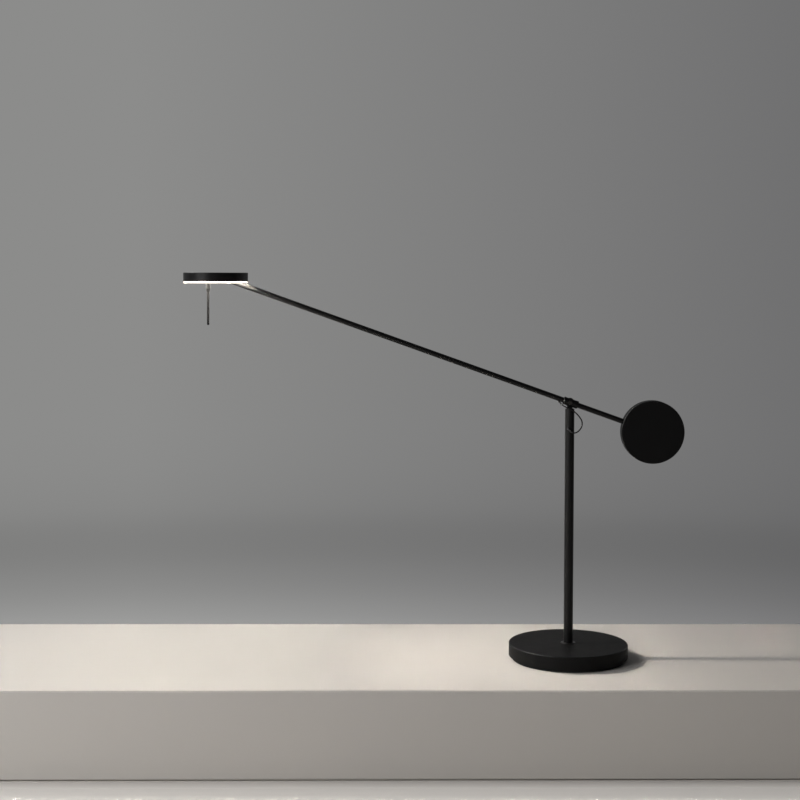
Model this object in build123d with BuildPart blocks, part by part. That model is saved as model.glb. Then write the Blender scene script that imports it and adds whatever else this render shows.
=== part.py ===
from build123d import *
from math import cos, pi, radians, sin, sqrt, tan
import os

# Counterweight balance desk lamp, in millimetres, +Z up. The origin is the centre of
# the base's underside. The head is on the -X side and the counterweight on the +X side.

# Base
base_diameter = 180.0
cover_height = 19.0
cover_wall = 4.0
cover_top = 3.0
cover_edge_radius = 1.2
foot_inset = 4.0
plate_thickness = 3.0
pad_thickness = 2.0
pad_inset = 1.0
boss_diameter = 9.0
boss_inset = 7.0
plate_screw_shank = 4.0
plate_screw_head = 7.6
plate_screw_length = 12.0
plate_screw_clearance = 0.15
ballast_gap = 0.5
ballast_bore = 34.0
ballast_channel = 14.0

# Pole and its swivel
pole_diameter = 14.0
pole_wall = 1.5
pivot_height = 390.0
roof_slope = 25.6
roof_gap = 0.15
pole_head_collar = 6.0
pole_head_spigot = 20.0
bush_flange_diameter = 22.0
bush_flange_thickness = 1.0
bush_flange_chamfer = 0.3
bush_barrel_diameter = 18.0
bush_length = 11.0
swivel_washer_diameter = 19.0
swivel_washer_thickness = 0.6
plug_flange_diameter = 20.0
plug_flange_thickness = 2.0
plug_spigot_length = 14.0
plug_bore = 5.0
stop_tab_width = 3.0
stop_tab_reach = 14.2
stop_pin_diameter = 3.0
stop_pin_offset = 12.8
stop_pin_height = 8.0

# Tongue of the pole, and the slotted hub that rocks on it
eye_radius = 7.0
neck_width = 8.0
tongue_thickness = 3.0
hub_diameter = 12.0
hub_front = 10.2
hub_rear = 13.0
hub_end_chamfer = 0.8
hub_slot_length = 16.0
hub_slot_corner = 0.6
hub_washer_diameter = 11.0
hub_washer_thickness = 0.4
hub_core_front = 14.0
hub_core_rear = 22.0
hub_pin_diameter = 4.0
hub_pin_head_diameter = 6.4
hub_pin_head_height = 1.0
hub_pin_head_chamfer = 0.3
hub_screw_shank = 2.4
hub_screw_length = 6.0
hub_set_screw_diameter = 3.0
hub_set_screw_setback = 2.4
hub_set_screw_recess = 0.2

# Arm and counterweight
arm_slope = 19.54
arm_diameter = 8.0
arm_wall = 1.0
arm_reach = 559.4
counterweight_diameter = 95.0
counterweight_thickness = 18.0
counterweight_distance = 132.6
counterweight_edge_radius = 0.8
counterweight_socket = 60.0
counterweight_screw_diameter = 5.0
counterweight_screw_inset = 22.0
counterweight_screw_recess = 0.5

# Eye at the tip of the arm
tip_setback = 8.0
tip_collar = 1.2
tip_spigot_length = 15.0
tip_eye_radius = 3.2
tip_tongue_thickness = 2.6
tip_wire_hole = 1.9
tip_wire_offset = 2.45

# Head
head_diameter = 97.0
rim_height = 13.2
head_wall = 1.5
head_top = 2.2
head_edge_radius = 0.8
hinge_rise = 6.0
hinge_offset = 8.0
head_pin_diameter = 2.5
head_pin_head_diameter = 3.6
head_pin_head_height = 0.5
head_washer_diameter = 6.0
head_washer_thickness = 0.3
ear_thickness = 2.0
ear_radius = 4.2
bracket_length = 18.0
bracket_width = 20.0
bracket_plate = 1.2
bracket_corner = 2.0
bracket_margin = 1.0
bracket_screw_pitch_x = 12.0
bracket_screw_pitch_y = 14.0
screw_shank = 2.0
screw_head_diameter = 3.8
screw_head_height = 1.2
screw_bite = 1.2
sink_gap = 0.8
sink_thickness = 2.5
sink_screw_count = 3
sink_screw_radius = 26.0
board_gap = 2.0
board_bore = 42.0
board_thickness = 1.2
chip_count = 23
chip_spacing = 15.0
chip_circle_radius = 35.0
chip_size = 2.8
chip_height = 0.8
slot_width = 9.4
slot_heel = 5.2
slot_corner = 1.5
liner_wall = 0.8
diffuser_gap = 0.4
lip_setback = 0.3
diffuser_lip = 2.7
diffuser_plate = 2.0
diffuser_wall = 1.4
diffuser_upstand = 3.0
diffuser_edge_radius = 0.6

# Stick handle under the head
handle_offset = 11.4
ferrule_diameter = 6.0
ferrule_length = 12.6
ferrule_taper = 4.0
ferrule_mouth = 4.4
ferrule_socket = 7.0
stud_diameter = 4.0
stud_bite = 1.6
handle_nut_width = 7.0
handle_nut_height = 2.2
rod_diameter = 3.5
rod_length = 57.6
rod_end_radius = 1.5

# Cable between the arm and the pole, and the wires inside
cable_diameter = 2.0
cable_port_diameter = 3.6
cable_port_bore = 2.4
cable_port_round = 0.4
gland_setback = 7.0
gland_reach = 8.0
gland_length = 3.6
gland_run = 5.5
gland_aim = Vector(0.53, -0.25, -0.81).normalized()
grommet_drop = 40.2
grommet_side = -2.7
grommet_reach = 2.5
grommet_length = 4.8
grommet_run = 5.0
grommet_aim = Vector(0.30, -0.88, -0.36).normalized()
pole_wire_turn = Vector(-2.9, 1.4, -3.0)
pole_wire_drop = 16.0
base_wire_diameter = 2.4
base_wire_lift = 0.7
base_wire_ramp = 12.0
base_wire_tail = 8.0
bend_share = 0.45

# Low-voltage inlet at the back of the base
jack_height = 14.5
jack_barrel_diameter = 10.0
jack_recess = 0.7
jack_socket_diameter = 5.6
jack_socket_depth = 9.0
jack_pin_diameter = 2.0
jack_body_width = 12.0
jack_body_height = 11.0
jack_body_depth = 8.0
jack_body_gap = 2.0

# Clearances, and how far a screw's hole goes past its end
running_gap = 0.06
seat_gap = 0.05
hole_extra = 1.0

# Levels and radii in the base
cover_bottom = pad_thickness + plate_thickness
cover_face = cover_bottom + cover_height
cover_ceiling = cover_face - cover_top
base_radius = base_diameter / 2
foot_radius = base_radius - foot_inset
boss_ring = foot_radius - boss_inset
ballast_radius = boss_ring - boss_diameter / 2 - ballast_gap
jack_front = base_radius - jack_recess
jack_body_front = base_radius - cover_wall - jack_body_gap
jack_body_back = jack_body_front - jack_body_depth
jack_plane = Plane((0, jack_body_front, jack_height), x_dir=(1, 0, 0), z_dir=(0, 1, 0))

# Levels and radii in the pole
pole_radius = pole_diameter / 2
pole_bore_radius = pole_radius - pole_wall
bush_bottom = cover_face + bush_flange_thickness - bush_length
tube_bottom = bush_bottom - swivel_washer_thickness - 2 * seat_gap
plug_bottom = tube_bottom - plug_flange_thickness
hub_radius = hub_diameter / 2
roof_peak = pivot_height - (hub_radius + roof_gap) / cos(radians(roof_slope))
roof_edge = roof_peak - pole_radius * tan(radians(roof_slope))
collar_bottom = roof_edge - pole_head_collar

# The arm's directions: along it towards the head, and square to it, downwards
along = Vector(-cos(radians(arm_slope)), 0, sin(radians(arm_slope)))
below = Vector(-sin(radians(arm_slope)), 0, -cos(radians(arm_slope)))
pivot = Vector(0, 0, pivot_height)
arm_section = Plane(pivot, x_dir=(0, 1, 0), z_dir=along)
arm_side = Plane(pivot, x_dir=along, z_dir=(0, -1, 0))
arm_underside = Plane(pivot, x_dir=along, z_dir=below)
arm_radius = arm_diameter / 2
arm_bore_radius = arm_radius - arm_wall
arm_front = arm_reach - tip_setback
arm_rear = counterweight_distance - counterweight_diameter / 2 + counterweight_socket
hub_slot_width = tongue_thickness + 2 * hub_washer_thickness + 4 * seat_gap
pin_seat = hub_radius - hub_pin_head_height

# The head's places, from the hinge at the end of the arm
hinge = pivot + along * arm_reach
head_centre = Vector(hinge.X - hinge_offset, 0, hinge.Z - hinge_rise)
head_plane = Plane(head_centre)
hinge_side = Plane(hinge, x_dir=(1, 0, 0), z_dir=(0, -1, 0))
head_radius = head_diameter / 2
head_bore_radius = head_radius - head_wall
head_ceiling = rim_height - head_top
sink_bottom = head_ceiling - sink_thickness
board_bottom = sink_bottom - board_thickness
liner_top = board_bottom - 2 * seat_gap
diffuser_radius = head_bore_radius - diffuser_gap
lip_radius = head_radius - lip_setback
ear_inner = tip_tongue_thickness / 2 + head_washer_thickness + 2 * seat_gap
handle_plane = Plane((head_centre.X - handle_offset, 0, head_centre.Z - diffuser_lip))

# The two ports of the cable
gland_root = pivot + along * (hub_core_front + gland_setback)
gland_mouth = gland_root + gland_aim * gland_reach
grommet_y = -sqrt(pole_radius**2 - grommet_side**2)
grommet_face = Vector(grommet_side, grommet_y, pivot_height - grommet_drop)
grommet_mouth = grommet_face + grommet_aim * grommet_reach

os.makedirs("parts", exist_ok=True)


def write(piece, node):
    piece.label = node
    export_step(piece, f"parts/{node}.step")


def bend_radii(points):
    """The radius at each corner of a route, as large as its two runs allow."""
    radii = []
    for before, corner, after in zip(points, points[1:], points[2:]):
        arriving, leaving = corner - before, after - corner
        half_turn = radians(arriving.get_angle(leaving) / 2)
        shorter_run = min(arriving.length, leaving.length)
        radii.append(bend_share * shorter_run / tan(half_turn))
    return radii


def wire_path(points):
    """A route as straight runs joined by tangent arcs."""
    return FilletPolyline(*points, radius=bend_radii(points))


# ------------------------------------------------------------------------- base

# The cover is a thick disc, hollow from below, with four screw bosses
with BuildPart() as base_cover:
    with BuildSketch(Plane.XY.offset(cover_bottom)):
        Circle(base_radius)
    extrude(amount=cover_height)
    fillet(base_cover.edges().group_by(Axis.Z)[-1], cover_edge_radius)
    with BuildSketch(Plane.XY.offset(cover_bottom)):
        Circle(base_radius - cover_wall)
        with PolarLocations(boss_ring, 4, start_angle=45):
            Circle(boss_diameter / 2, mode=Mode.SUBTRACT)
    extrude(amount=cover_height - cover_top, mode=Mode.SUBTRACT)
    with BuildSketch(Plane.XY.offset(cover_bottom)):
        with PolarLocations(boss_ring, 4, start_angle=45):
            Circle(plate_screw_shank / 2 + seat_gap)
    extrude(amount=plate_screw_length - plate_thickness + hole_extra, mode=Mode.SUBTRACT)
    with BuildSketch(Plane.XY.offset(cover_face)):
        Circle(bush_barrel_diameter / 2 + seat_gap)
    extrude(amount=-cover_top, mode=Mode.SUBTRACT)
    with BuildSketch(jack_plane):
        Circle(jack_barrel_diameter / 2 + seat_gap)
    extrude(amount=jack_body_gap + cover_wall, mode=Mode.SUBTRACT)
write(base_cover.part, "base_cover")

with BuildPart() as base_ballast:
    with BuildSketch(Plane.XY.offset(cover_bottom)):
        Circle(ballast_radius)
        Circle(ballast_bore / 2, mode=Mode.SUBTRACT)
        with Locations((0, ballast_radius / 2)):
            Rectangle(ballast_channel, ballast_radius, mode=Mode.SUBTRACT)
    extrude(amount=cover_ceiling - cover_bottom)
write(base_ballast.part, "base_ballast")

with BuildPart() as base_plate:
    with BuildSketch(Plane.XY.offset(pad_thickness)):
        Circle(foot_radius)
    extrude(amount=plate_thickness)
    with Locations(Plane((0, 0, pad_thickness), x_dir=(1, 0, 0), z_dir=(0, 0, -1))):
        with PolarLocations(boss_ring, 4, start_angle=45):
            CounterSinkHole(
                plate_screw_shank / 2 + plate_screw_clearance,
                plate_screw_head / 2 + plate_screw_clearance,
            )
write(base_plate.part, "base_plate")

with BuildPart() as base_plate_screws:
    shank_radius = plate_screw_shank / 2
    head_cone = (plate_screw_head - plate_screw_shank) / 2
    with PolarLocations(boss_ring, 4, start_angle=45):
        with Locations((0, 0, pad_thickness)):
            Cylinder(shank_radius, plate_screw_length, align=(Align.CENTER, Align.CENTER, Align.MIN))
            Cone(
                plate_screw_head / 2,
                shank_radius,
                head_cone,
                align=(Align.CENTER, Align.CENTER, Align.MIN),
            )
write(base_plate_screws.part, "base_plate_screws")

with BuildPart() as base_pad:
    with BuildSketch(Plane.XY):
        Circle(foot_radius - pad_inset)
    extrude(amount=pad_thickness)
write(base_pad.part, "base_pad")

# The bush's thin flange is the ring that shows at the foot of the pole
with BuildPart() as swivel_bush:
    with BuildSketch(Plane.XY.offset(bush_bottom)):
        Circle(bush_barrel_diameter / 2)
    extrude(amount=cover_face - bush_bottom)
    with BuildSketch(Plane.XY.offset(cover_face)):
        Circle(bush_flange_diameter / 2)
    extrude(amount=bush_flange_thickness)
    chamfer(swivel_bush.edges().group_by(Axis.Z)[-1], bush_flange_chamfer)
    with BuildSketch(Plane.XY.offset(bush_bottom)):
        Circle(pole_radius + running_gap)
    extrude(amount=bush_length, mode=Mode.SUBTRACT)
write(swivel_bush.part, "swivel_bush")

with BuildPart() as swivel_stop_pin:
    with BuildSketch(Plane.XY.offset(cover_bottom)):
        with Locations((stop_pin_offset, 0)):
            Circle(stop_pin_diameter / 2)
    extrude(amount=stop_pin_height)
write(swivel_stop_pin.part, "swivel_stop_pin")

with BuildPart() as power_jack:
    with BuildSketch(jack_plane):
        Rectangle(jack_body_width, jack_body_height)
    extrude(amount=-jack_body_depth)
    with BuildSketch(jack_plane):
        Circle(jack_barrel_diameter / 2)
    extrude(amount=jack_front - jack_body_front)
    with BuildSketch(jack_plane.offset(jack_front - jack_body_front)):
        Circle(jack_socket_diameter / 2)
        Circle(jack_pin_diameter / 2, mode=Mode.SUBTRACT)
    extrude(amount=-jack_socket_depth, mode=Mode.SUBTRACT)
write(power_jack.part, "power_jack")

# The wire runs up the middle of the pole's plug, so turning the pole only twists it
wire_level = cover_bottom + base_wire_diameter / 2 + base_wire_lift
base_wire_route = [
    Vector(0, 0, plug_bottom),
    Vector(0, 0, wire_level),
    Vector(0, jack_body_back - base_wire_tail - base_wire_ramp, wire_level),
    Vector(0, jack_body_back - base_wire_tail, jack_height),
    Vector(0, jack_body_back, jack_height),
]
with BuildPart() as base_wire:
    with BuildLine():
        wire_path(base_wire_route)
    with BuildSketch(Plane(base_wire_route[0], z_dir=(0, 0, -1))):
        Circle(base_wire_diameter / 2)
    sweep()
write(base_wire.part, "base_wire")

# ------------------------------------------------------------------------- pole

with BuildPart() as pole_tube:
    with BuildSketch(Plane.XY.offset(tube_bottom)):
        Circle(pole_radius)
        Circle(pole_bore_radius, mode=Mode.SUBTRACT)
    extrude(amount=collar_bottom - tube_bottom)
    with BuildSketch(Plane(grommet_mouth, z_dir=grommet_aim)):
        Circle(cable_port_diameter / 2 + seat_gap)
    extrude(amount=-(grommet_reach + pole_radius), mode=Mode.SUBTRACT)
write(pole_tube.part, "pole_tube")

# Hollow plug whose flange keeps the pole in the bush and whose tab meets the stop pin
with BuildPart() as pole_end_plug:
    with BuildSketch(Plane.XY.offset(plug_bottom)):
        Circle(plug_flange_diameter / 2)
        with Locations((-stop_tab_reach / 2, 0)):
            Rectangle(stop_tab_reach, stop_tab_width)
    extrude(amount=plug_flange_thickness)
    with BuildSketch(Plane.XY.offset(tube_bottom)):
        Circle(pole_bore_radius - seat_gap)
    extrude(amount=plug_spigot_length)
    with BuildSketch(Plane.XY.offset(plug_bottom)):
        Circle(plug_bore / 2)
    extrude(amount=plug_flange_thickness + plug_spigot_length, mode=Mode.SUBTRACT)
write(pole_end_plug.part, "pole_end_plug")

with BuildPart() as swivel_washer:
    with BuildSketch(Plane.XY.offset(tube_bottom + seat_gap)):
        Circle(swivel_washer_diameter / 2)
        Circle(pole_radius + seat_gap, mode=Mode.SUBTRACT)
    extrude(amount=swivel_washer_thickness)
write(swivel_washer.part, "swivel_washer")

# Round collar with a roof that stops the hub both ways, and a flat tongue with a round eye
with BuildPart() as pole_head:
    with BuildSketch(Plane.XY.offset(collar_bottom - pole_head_spigot)):
        Circle(pole_bore_radius - seat_gap)
    extrude(amount=pole_head_spigot)
    with BuildSketch(Plane.XY.offset(collar_bottom)):
        Circle(pole_radius)
    extrude(amount=roof_peak - collar_bottom)
    with BuildSketch(Plane.XZ.offset(-pole_radius)):
        for side in (-1, 1):
            with BuildLine():
                Polyline(
                    (0, roof_peak),
                    (side * pole_radius, roof_peak),
                    (side * pole_radius, roof_edge),
                    close=True,
                )
            make_face()
    extrude(amount=pole_diameter, mode=Mode.SUBTRACT)
    with BuildSketch(Plane.XZ.offset(-tongue_thickness / 2)):
        with Locations((0, (pivot_height + roof_edge) / 2)):
            Rectangle(neck_width, pivot_height - roof_edge)
        with Locations((0, pivot_height)):
            Circle(eye_radius)
            Circle(hub_pin_diameter / 2 + running_gap, mode=Mode.SUBTRACT)
    extrude(amount=tongue_thickness)
write(pole_head.part, "pole_head")


def cable_port(mouth, aim, length):
    """A short round sleeve whose rounded mouth faces along aim."""
    with BuildPart() as sleeve:
        with BuildSketch(Plane(mouth, z_dir=aim)):
            Circle(cable_port_diameter / 2)
            Circle(cable_port_bore / 2, mode=Mode.SUBTRACT)
        extrude(amount=-length)
        outer_edge = sleeve.edges().filter_by(GeomType.CIRCLE).sort_by_distance(mouth)[1]
        fillet(outer_edge, cable_port_round)
    return sleeve.part


write(cable_port(grommet_mouth, grommet_aim, grommet_length), "pole_grommet")

pole_wire_route = [
    grommet_mouth,
    grommet_face - grommet_aim * pole_bore_radius,
    Vector(0, 0, grommet_face.Z) + pole_wire_turn,
    Vector(0, 0, grommet_face.Z - pole_wire_drop),
    Vector(0, 0, plug_bottom),
]
with BuildPart() as pole_wire:
    with BuildLine():
        wire_path(pole_wire_route)
    with BuildSketch(Plane(grommet_mouth, z_dir=-grommet_aim)):
        Circle(cable_diameter / 2)
    sweep()
write(pole_wire.part, "pole_wire")

# -------------------------------------------------------------------------- arm


# What the tongue's slot and the hinge pin take out of the tube, its core and its hub
with BuildPart() as slot_cut:
    with BuildSketch(arm_underside.offset(-hub_radius)):
        RectangleRounded(hub_slot_length, hub_slot_width, hub_slot_corner)
    extrude(amount=hub_diameter)

with BuildPart() as pin_cut:
    with BuildSketch(arm_side.offset(-hub_radius)):
        Circle(hub_pin_diameter / 2 + seat_gap)
    extrude(amount=hub_diameter)

with BuildPart() as arm_tube:
    with BuildSketch(arm_section.offset(-arm_rear)):
        Circle(arm_radius)
        Circle(arm_bore_radius, mode=Mode.SUBTRACT)
    extrude(amount=arm_rear + arm_front)
    add([slot_cut.part, pin_cut.part], mode=Mode.SUBTRACT)
    with BuildSketch(Plane(gland_mouth, z_dir=gland_aim)):
        Circle(cable_port_diameter / 2 + seat_gap)
    extrude(amount=-gland_reach, mode=Mode.SUBTRACT)
write(arm_tube.part, "arm_tube")

# Sleeve round the tube, spot-faced on both sides for the pin's heads
with BuildPart() as arm_hub:
    with BuildSketch(arm_section.offset(-hub_rear)):
        Circle(hub_radius)
    extrude(amount=hub_rear + hub_front)
    chamfer(arm_hub.edges(), hub_end_chamfer)
    with BuildSketch(arm_section.offset(-hub_rear)):
        Circle(arm_radius + seat_gap)
    extrude(amount=hub_rear + hub_front, mode=Mode.SUBTRACT)
    add([slot_cut.part, pin_cut.part], mode=Mode.SUBTRACT)
    for spot_face in (arm_side.offset(pin_seat), arm_side.offset(-hub_radius)):
        with BuildSketch(spot_face):
            Circle(hub_pin_head_diameter / 2 + seat_gap)
        extrude(amount=hub_pin_head_height, mode=Mode.SUBTRACT)
    with BuildSketch(arm_underside):
        with Locations((hub_set_screw_setback - hub_rear, 0)):
            Circle(hub_set_screw_diameter / 2 + seat_gap)
    extrude(amount=hub_radius, mode=Mode.SUBTRACT)
write(arm_hub.part, "arm_hub")

# Solid core in the tube where the slot weakens it; the wire leaves just before it
with BuildPart() as hub_core:
    with BuildSketch(arm_section.offset(-hub_core_rear)):
        Circle(arm_bore_radius - seat_gap)
    extrude(amount=hub_core_rear + hub_core_front)
    add([slot_cut.part, pin_cut.part], mode=Mode.SUBTRACT)
write(hub_core.part, "hub_core")

with BuildPart() as hub_set_screw:
    with BuildSketch(arm_underside.offset(arm_radius + 2 * seat_gap)):
        with Locations((hub_set_screw_setback - hub_rear, 0)):
            Circle(hub_set_screw_diameter / 2)
    extrude(amount=hub_radius - arm_radius - 2 * seat_gap - hub_set_screw_recess)
write(hub_set_screw.part, "hub_set_screw")

with BuildPart() as hub_pin:
    with BuildSketch(arm_side.offset(-pin_seat + 2 * seat_gap)):
        Circle(hub_pin_diameter / 2)
    extrude(amount=2 * pin_seat - 2 * seat_gap)
    with BuildSketch(arm_side.offset(pin_seat)):
        Circle(hub_pin_head_diameter / 2)
    extrude(amount=hub_pin_head_height)
    chamfer(hub_pin.edges().group_by(Axis.Y)[0], hub_pin_head_chamfer)
    with BuildSketch(arm_side.offset(-pin_seat)):
        Circle(hub_screw_shank / 2 + seat_gap)
    extrude(amount=hub_screw_length + hole_extra, mode=Mode.SUBTRACT)
write(hub_pin.part, "hub_pin")

with BuildPart() as hub_pin_screw:
    with BuildSketch(arm_side.offset(-pin_seat)):
        Circle(hub_screw_shank / 2)
    extrude(amount=hub_screw_length)
    with BuildSketch(arm_side.offset(-hub_radius)):
        Circle(hub_pin_head_diameter / 2)
    extrude(amount=hub_pin_head_height)
    chamfer(hub_pin_screw.edges().group_by(Axis.Y)[-1], hub_pin_head_chamfer)
write(hub_pin_screw.part, "hub_pin_screw")

with BuildPart() as hub_washers:
    washer_face = tongue_thickness / 2 + seat_gap
    for level in (washer_face, -washer_face - hub_washer_thickness):
        with BuildSketch(arm_side.offset(level)):
            Circle(hub_washer_diameter / 2)
            Circle(hub_pin_diameter / 2 + running_gap, mode=Mode.SUBTRACT)
        extrude(amount=hub_washer_thickness)
write(hub_washers.part, "hub_washers")

write(cable_port(gland_mouth, gland_aim, gland_length), "arm_gland")

spigot_rear = arm_front - tip_spigot_length
arm_wire_route = [gland_mouth, gland_root, pivot + along * spigot_rear]
with BuildPart() as arm_wire:
    with BuildLine():
        wire_path(arm_wire_route)
    with BuildSketch(Plane(gland_mouth, z_dir=-gland_aim)):
        Circle(cable_diameter / 2)
    sweep()
write(arm_wire.part, "arm_wire")

# Solid disc on edge, with a socket in its rim for the arm and a tapped hole behind
counterweight_radius = counterweight_diameter / 2
counterweight_rim = counterweight_distance - counterweight_radius
screw_station = -(counterweight_rim + counterweight_screw_inset)
with BuildPart() as counterweight:
    with BuildSketch(arm_side.offset(-counterweight_thickness / 2)):
        with Locations((-counterweight_distance, 0)):
            Circle(counterweight_radius)
    extrude(amount=counterweight_thickness)
    fillet(counterweight.edges().filter_by(GeomType.CIRCLE), counterweight_edge_radius)
    with BuildSketch(arm_section.offset(-arm_rear)):
        Circle(arm_radius + seat_gap)
    extrude(amount=counterweight_socket + arm_radius, mode=Mode.SUBTRACT)
    with BuildSketch(arm_side.offset(-counterweight_thickness / 2)):
        with Locations((screw_station, 0)):
            Circle(counterweight_screw_diameter / 2 + seat_gap)
    extrude(amount=counterweight_thickness / 2, mode=Mode.SUBTRACT)
write(counterweight.part, "counterweight")

with BuildPart() as counterweight_screw:
    with BuildSketch(arm_side.offset(counterweight_screw_recess - counterweight_thickness / 2)):
        with Locations((screw_station, 0)):
            Circle(counterweight_screw_diameter / 2)
    screw_room = counterweight_thickness / 2 - arm_radius - 2 * seat_gap
    extrude(amount=screw_room - counterweight_screw_recess)
write(counterweight_screw.part, "counterweight_screw")

# Plug in the end of the tube, with a flat tongue and eye for the head's hinge
with BuildPart() as tip_fitting:
    with BuildSketch(arm_section.offset(spigot_rear)):
        Circle(arm_bore_radius - seat_gap)
    extrude(amount=tip_spigot_length)
    with BuildSketch(arm_section.offset(arm_front)):
        Circle(arm_radius)
    extrude(amount=tip_collar)
    with BuildSketch(arm_section.offset(spigot_rear)):
        with Locations((tip_wire_offset, 0)):
            Circle(tip_wire_hole / 2)
    extrude(amount=tip_spigot_length + tip_collar, mode=Mode.SUBTRACT)
    with BuildSketch(arm_side.offset(-tip_tongue_thickness / 2)):
        with Locations((arm_reach - tip_setback / 2, 0)):
            Rectangle(tip_setback, 2 * tip_eye_radius)
        with Locations((arm_reach, 0)):
            Circle(tip_eye_radius)
            Circle(head_pin_diameter / 2 + running_gap, mode=Mode.SUBTRACT)
    extrude(amount=tip_tongue_thickness)
write(tip_fitting.part, "tip_fitting")

# ------------------------------------------------------------------------- head

bracket_holes = Locations(
    *[
        (hinge_offset + x * bracket_screw_pitch_x / 2, y * bracket_screw_pitch_y / 2)
        for x in (-1, 1)
        for y in (-1, 1)
    ]
)
sink_holes = PolarLocations(sink_screw_radius, sink_screw_count, start_angle=60)

with BuildPart() as head_shell:
    with BuildSketch(head_plane):
        Circle(head_radius)
    extrude(amount=rim_height)
    fillet(head_shell.edges().group_by(Axis.Z)[-1], head_edge_radius)
    with BuildSketch(head_plane):
        Circle(head_bore_radius)
    extrude(amount=head_ceiling, mode=Mode.SUBTRACT)
    with BuildSketch(head_plane.offset(head_ceiling)):
        with bracket_holes:
            Circle(screw_shank / 2 + seat_gap)
        with sink_holes:
            Circle(screw_shank / 2 + seat_gap)
    extrude(amount=screw_bite + seat_gap, mode=Mode.SUBTRACT)
write(head_shell.part, "head_shell")

# Folded bracket: a plate under the shell's top and two ears down to the hinge
plate_underside = head_ceiling - bracket_plate
with BuildPart() as hinge_bracket:
    with BuildSketch(head_plane.offset(plate_underside)):
        with Locations((hinge_offset, 0)):
            RectangleRounded(bracket_length, bracket_width, bracket_corner)
        with bracket_holes:
            Circle(screw_shank / 2 + seat_gap, mode=Mode.SUBTRACT)
    extrude(amount=bracket_plate)
    for level in (ear_inner, -ear_inner - ear_thickness):
        with BuildSketch(hinge_side.offset(level)):
            with Locations((0, (plate_underside - hinge_rise) / 2)):
                Rectangle(2 * ear_radius, plate_underside - hinge_rise)
            Circle(ear_radius)
            Circle(head_pin_diameter / 2 + seat_gap, mode=Mode.SUBTRACT)
        extrude(amount=ear_thickness)
write(hinge_bracket.part, "hinge_bracket")


def head_screws(places, head_level, length):
    """Cheese-head screws driven up from head_level at the given places."""
    with BuildPart() as screws:
        with BuildSketch(head_plane.offset(head_level)):
            with places:
                Circle(screw_head_diameter / 2)
        extrude(amount=-screw_head_height)
        with BuildSketch(head_plane.offset(head_level)):
            with places:
                Circle(screw_shank / 2)
        extrude(amount=length)
    return screws.part


write(head_screws(bracket_holes, plate_underside, bracket_plate + screw_bite), "bracket_screws")

with BuildPart() as head_pin:
    pin_half_length = ear_inner + ear_thickness
    with BuildSketch(hinge_side.offset(-pin_half_length)):
        Circle(head_pin_diameter / 2)
    extrude(amount=2 * pin_half_length)
    for level in (pin_half_length, -pin_half_length - head_pin_head_height):
        with BuildSketch(hinge_side.offset(level)):
            Circle(head_pin_head_diameter / 2)
        extrude(amount=head_pin_head_height)
write(head_pin.part, "head_pin")

with BuildPart() as head_washers:
    washer_level = tip_tongue_thickness / 2 + seat_gap
    for level in (washer_level, -washer_level - head_washer_thickness):
        with BuildSketch(hinge_side.offset(level)):
            Circle(head_washer_diameter / 2)
            Circle(head_pin_diameter / 2 + running_gap, mode=Mode.SUBTRACT)
        extrude(amount=head_washer_thickness)
write(head_washers.part, "head_washers")

with BuildPart() as heat_sink:
    with BuildSketch(head_plane.offset(sink_bottom)):
        Circle(head_bore_radius - sink_gap)
        with Locations((hinge_offset, 0)):
            cutout_length = bracket_length + 2 * bracket_margin
            cutout_width = bracket_width + 2 * bracket_margin
            RectangleRounded(cutout_length, cutout_width, bracket_corner, mode=Mode.SUBTRACT)
        with sink_holes:
            Circle(screw_shank / 2 + seat_gap, mode=Mode.SUBTRACT)
    extrude(amount=sink_thickness)
    with BuildSketch(head_plane.offset(sink_bottom)):
        with Locations((-handle_offset, 0)):
            Circle(stud_diameter / 2 + seat_gap)
    extrude(amount=stud_bite + seat_gap, mode=Mode.SUBTRACT)
write(heat_sink.part, "heat_sink")

with BuildPart() as led_board:
    with BuildSketch(head_plane.offset(board_bottom)):
        Circle(head_bore_radius - board_gap)
        Circle(board_bore / 2, mode=Mode.SUBTRACT)
        with sink_holes:
            Circle(screw_shank / 2 + seat_gap, mode=Mode.SUBTRACT)
    extrude(amount=board_thickness)
write(led_board.part, "led_board")

sink_screw_length = board_thickness + sink_thickness + screw_bite
write(head_screws(sink_holes, board_bottom, sink_screw_length), "sink_screws")

with BuildPart() as led_chips:
    with BuildSketch(head_plane.offset(board_bottom)):
        chip_sweep = chip_spacing * chip_count
        with PolarLocations(chip_circle_radius, chip_count, chip_spacing, chip_sweep):
            Rectangle(chip_size, chip_size)
    extrude(amount=-chip_height)
write(led_chips.part, "led_chips")


def slot_outline(growth):
    """The arm's slot, square at the hinge and open at the rim, grown by growth all round."""
    slot_start = hinge_offset - slot_heel
    slot_end = head_radius + slot_heel
    with Locations(((slot_start + slot_end) / 2, 0)):
        RectangleRounded(
            slot_end - slot_start + 2 * growth,
            slot_width + 2 * growth,
            slot_corner + growth,
        )


# Wall round the slot that keeps the light in
with BuildPart() as slot_liner:
    with BuildSketch(head_plane.offset(-diffuser_lip)):
        slot_outline(liner_wall)
        Circle(diffuser_radius, mode=Mode.INTERSECT)
        with BuildSketch(mode=Mode.SUBTRACT):
            slot_outline(0)
    extrude(amount=diffuser_lip + liner_top)
write(slot_liner.part, "slot_liner")

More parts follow.
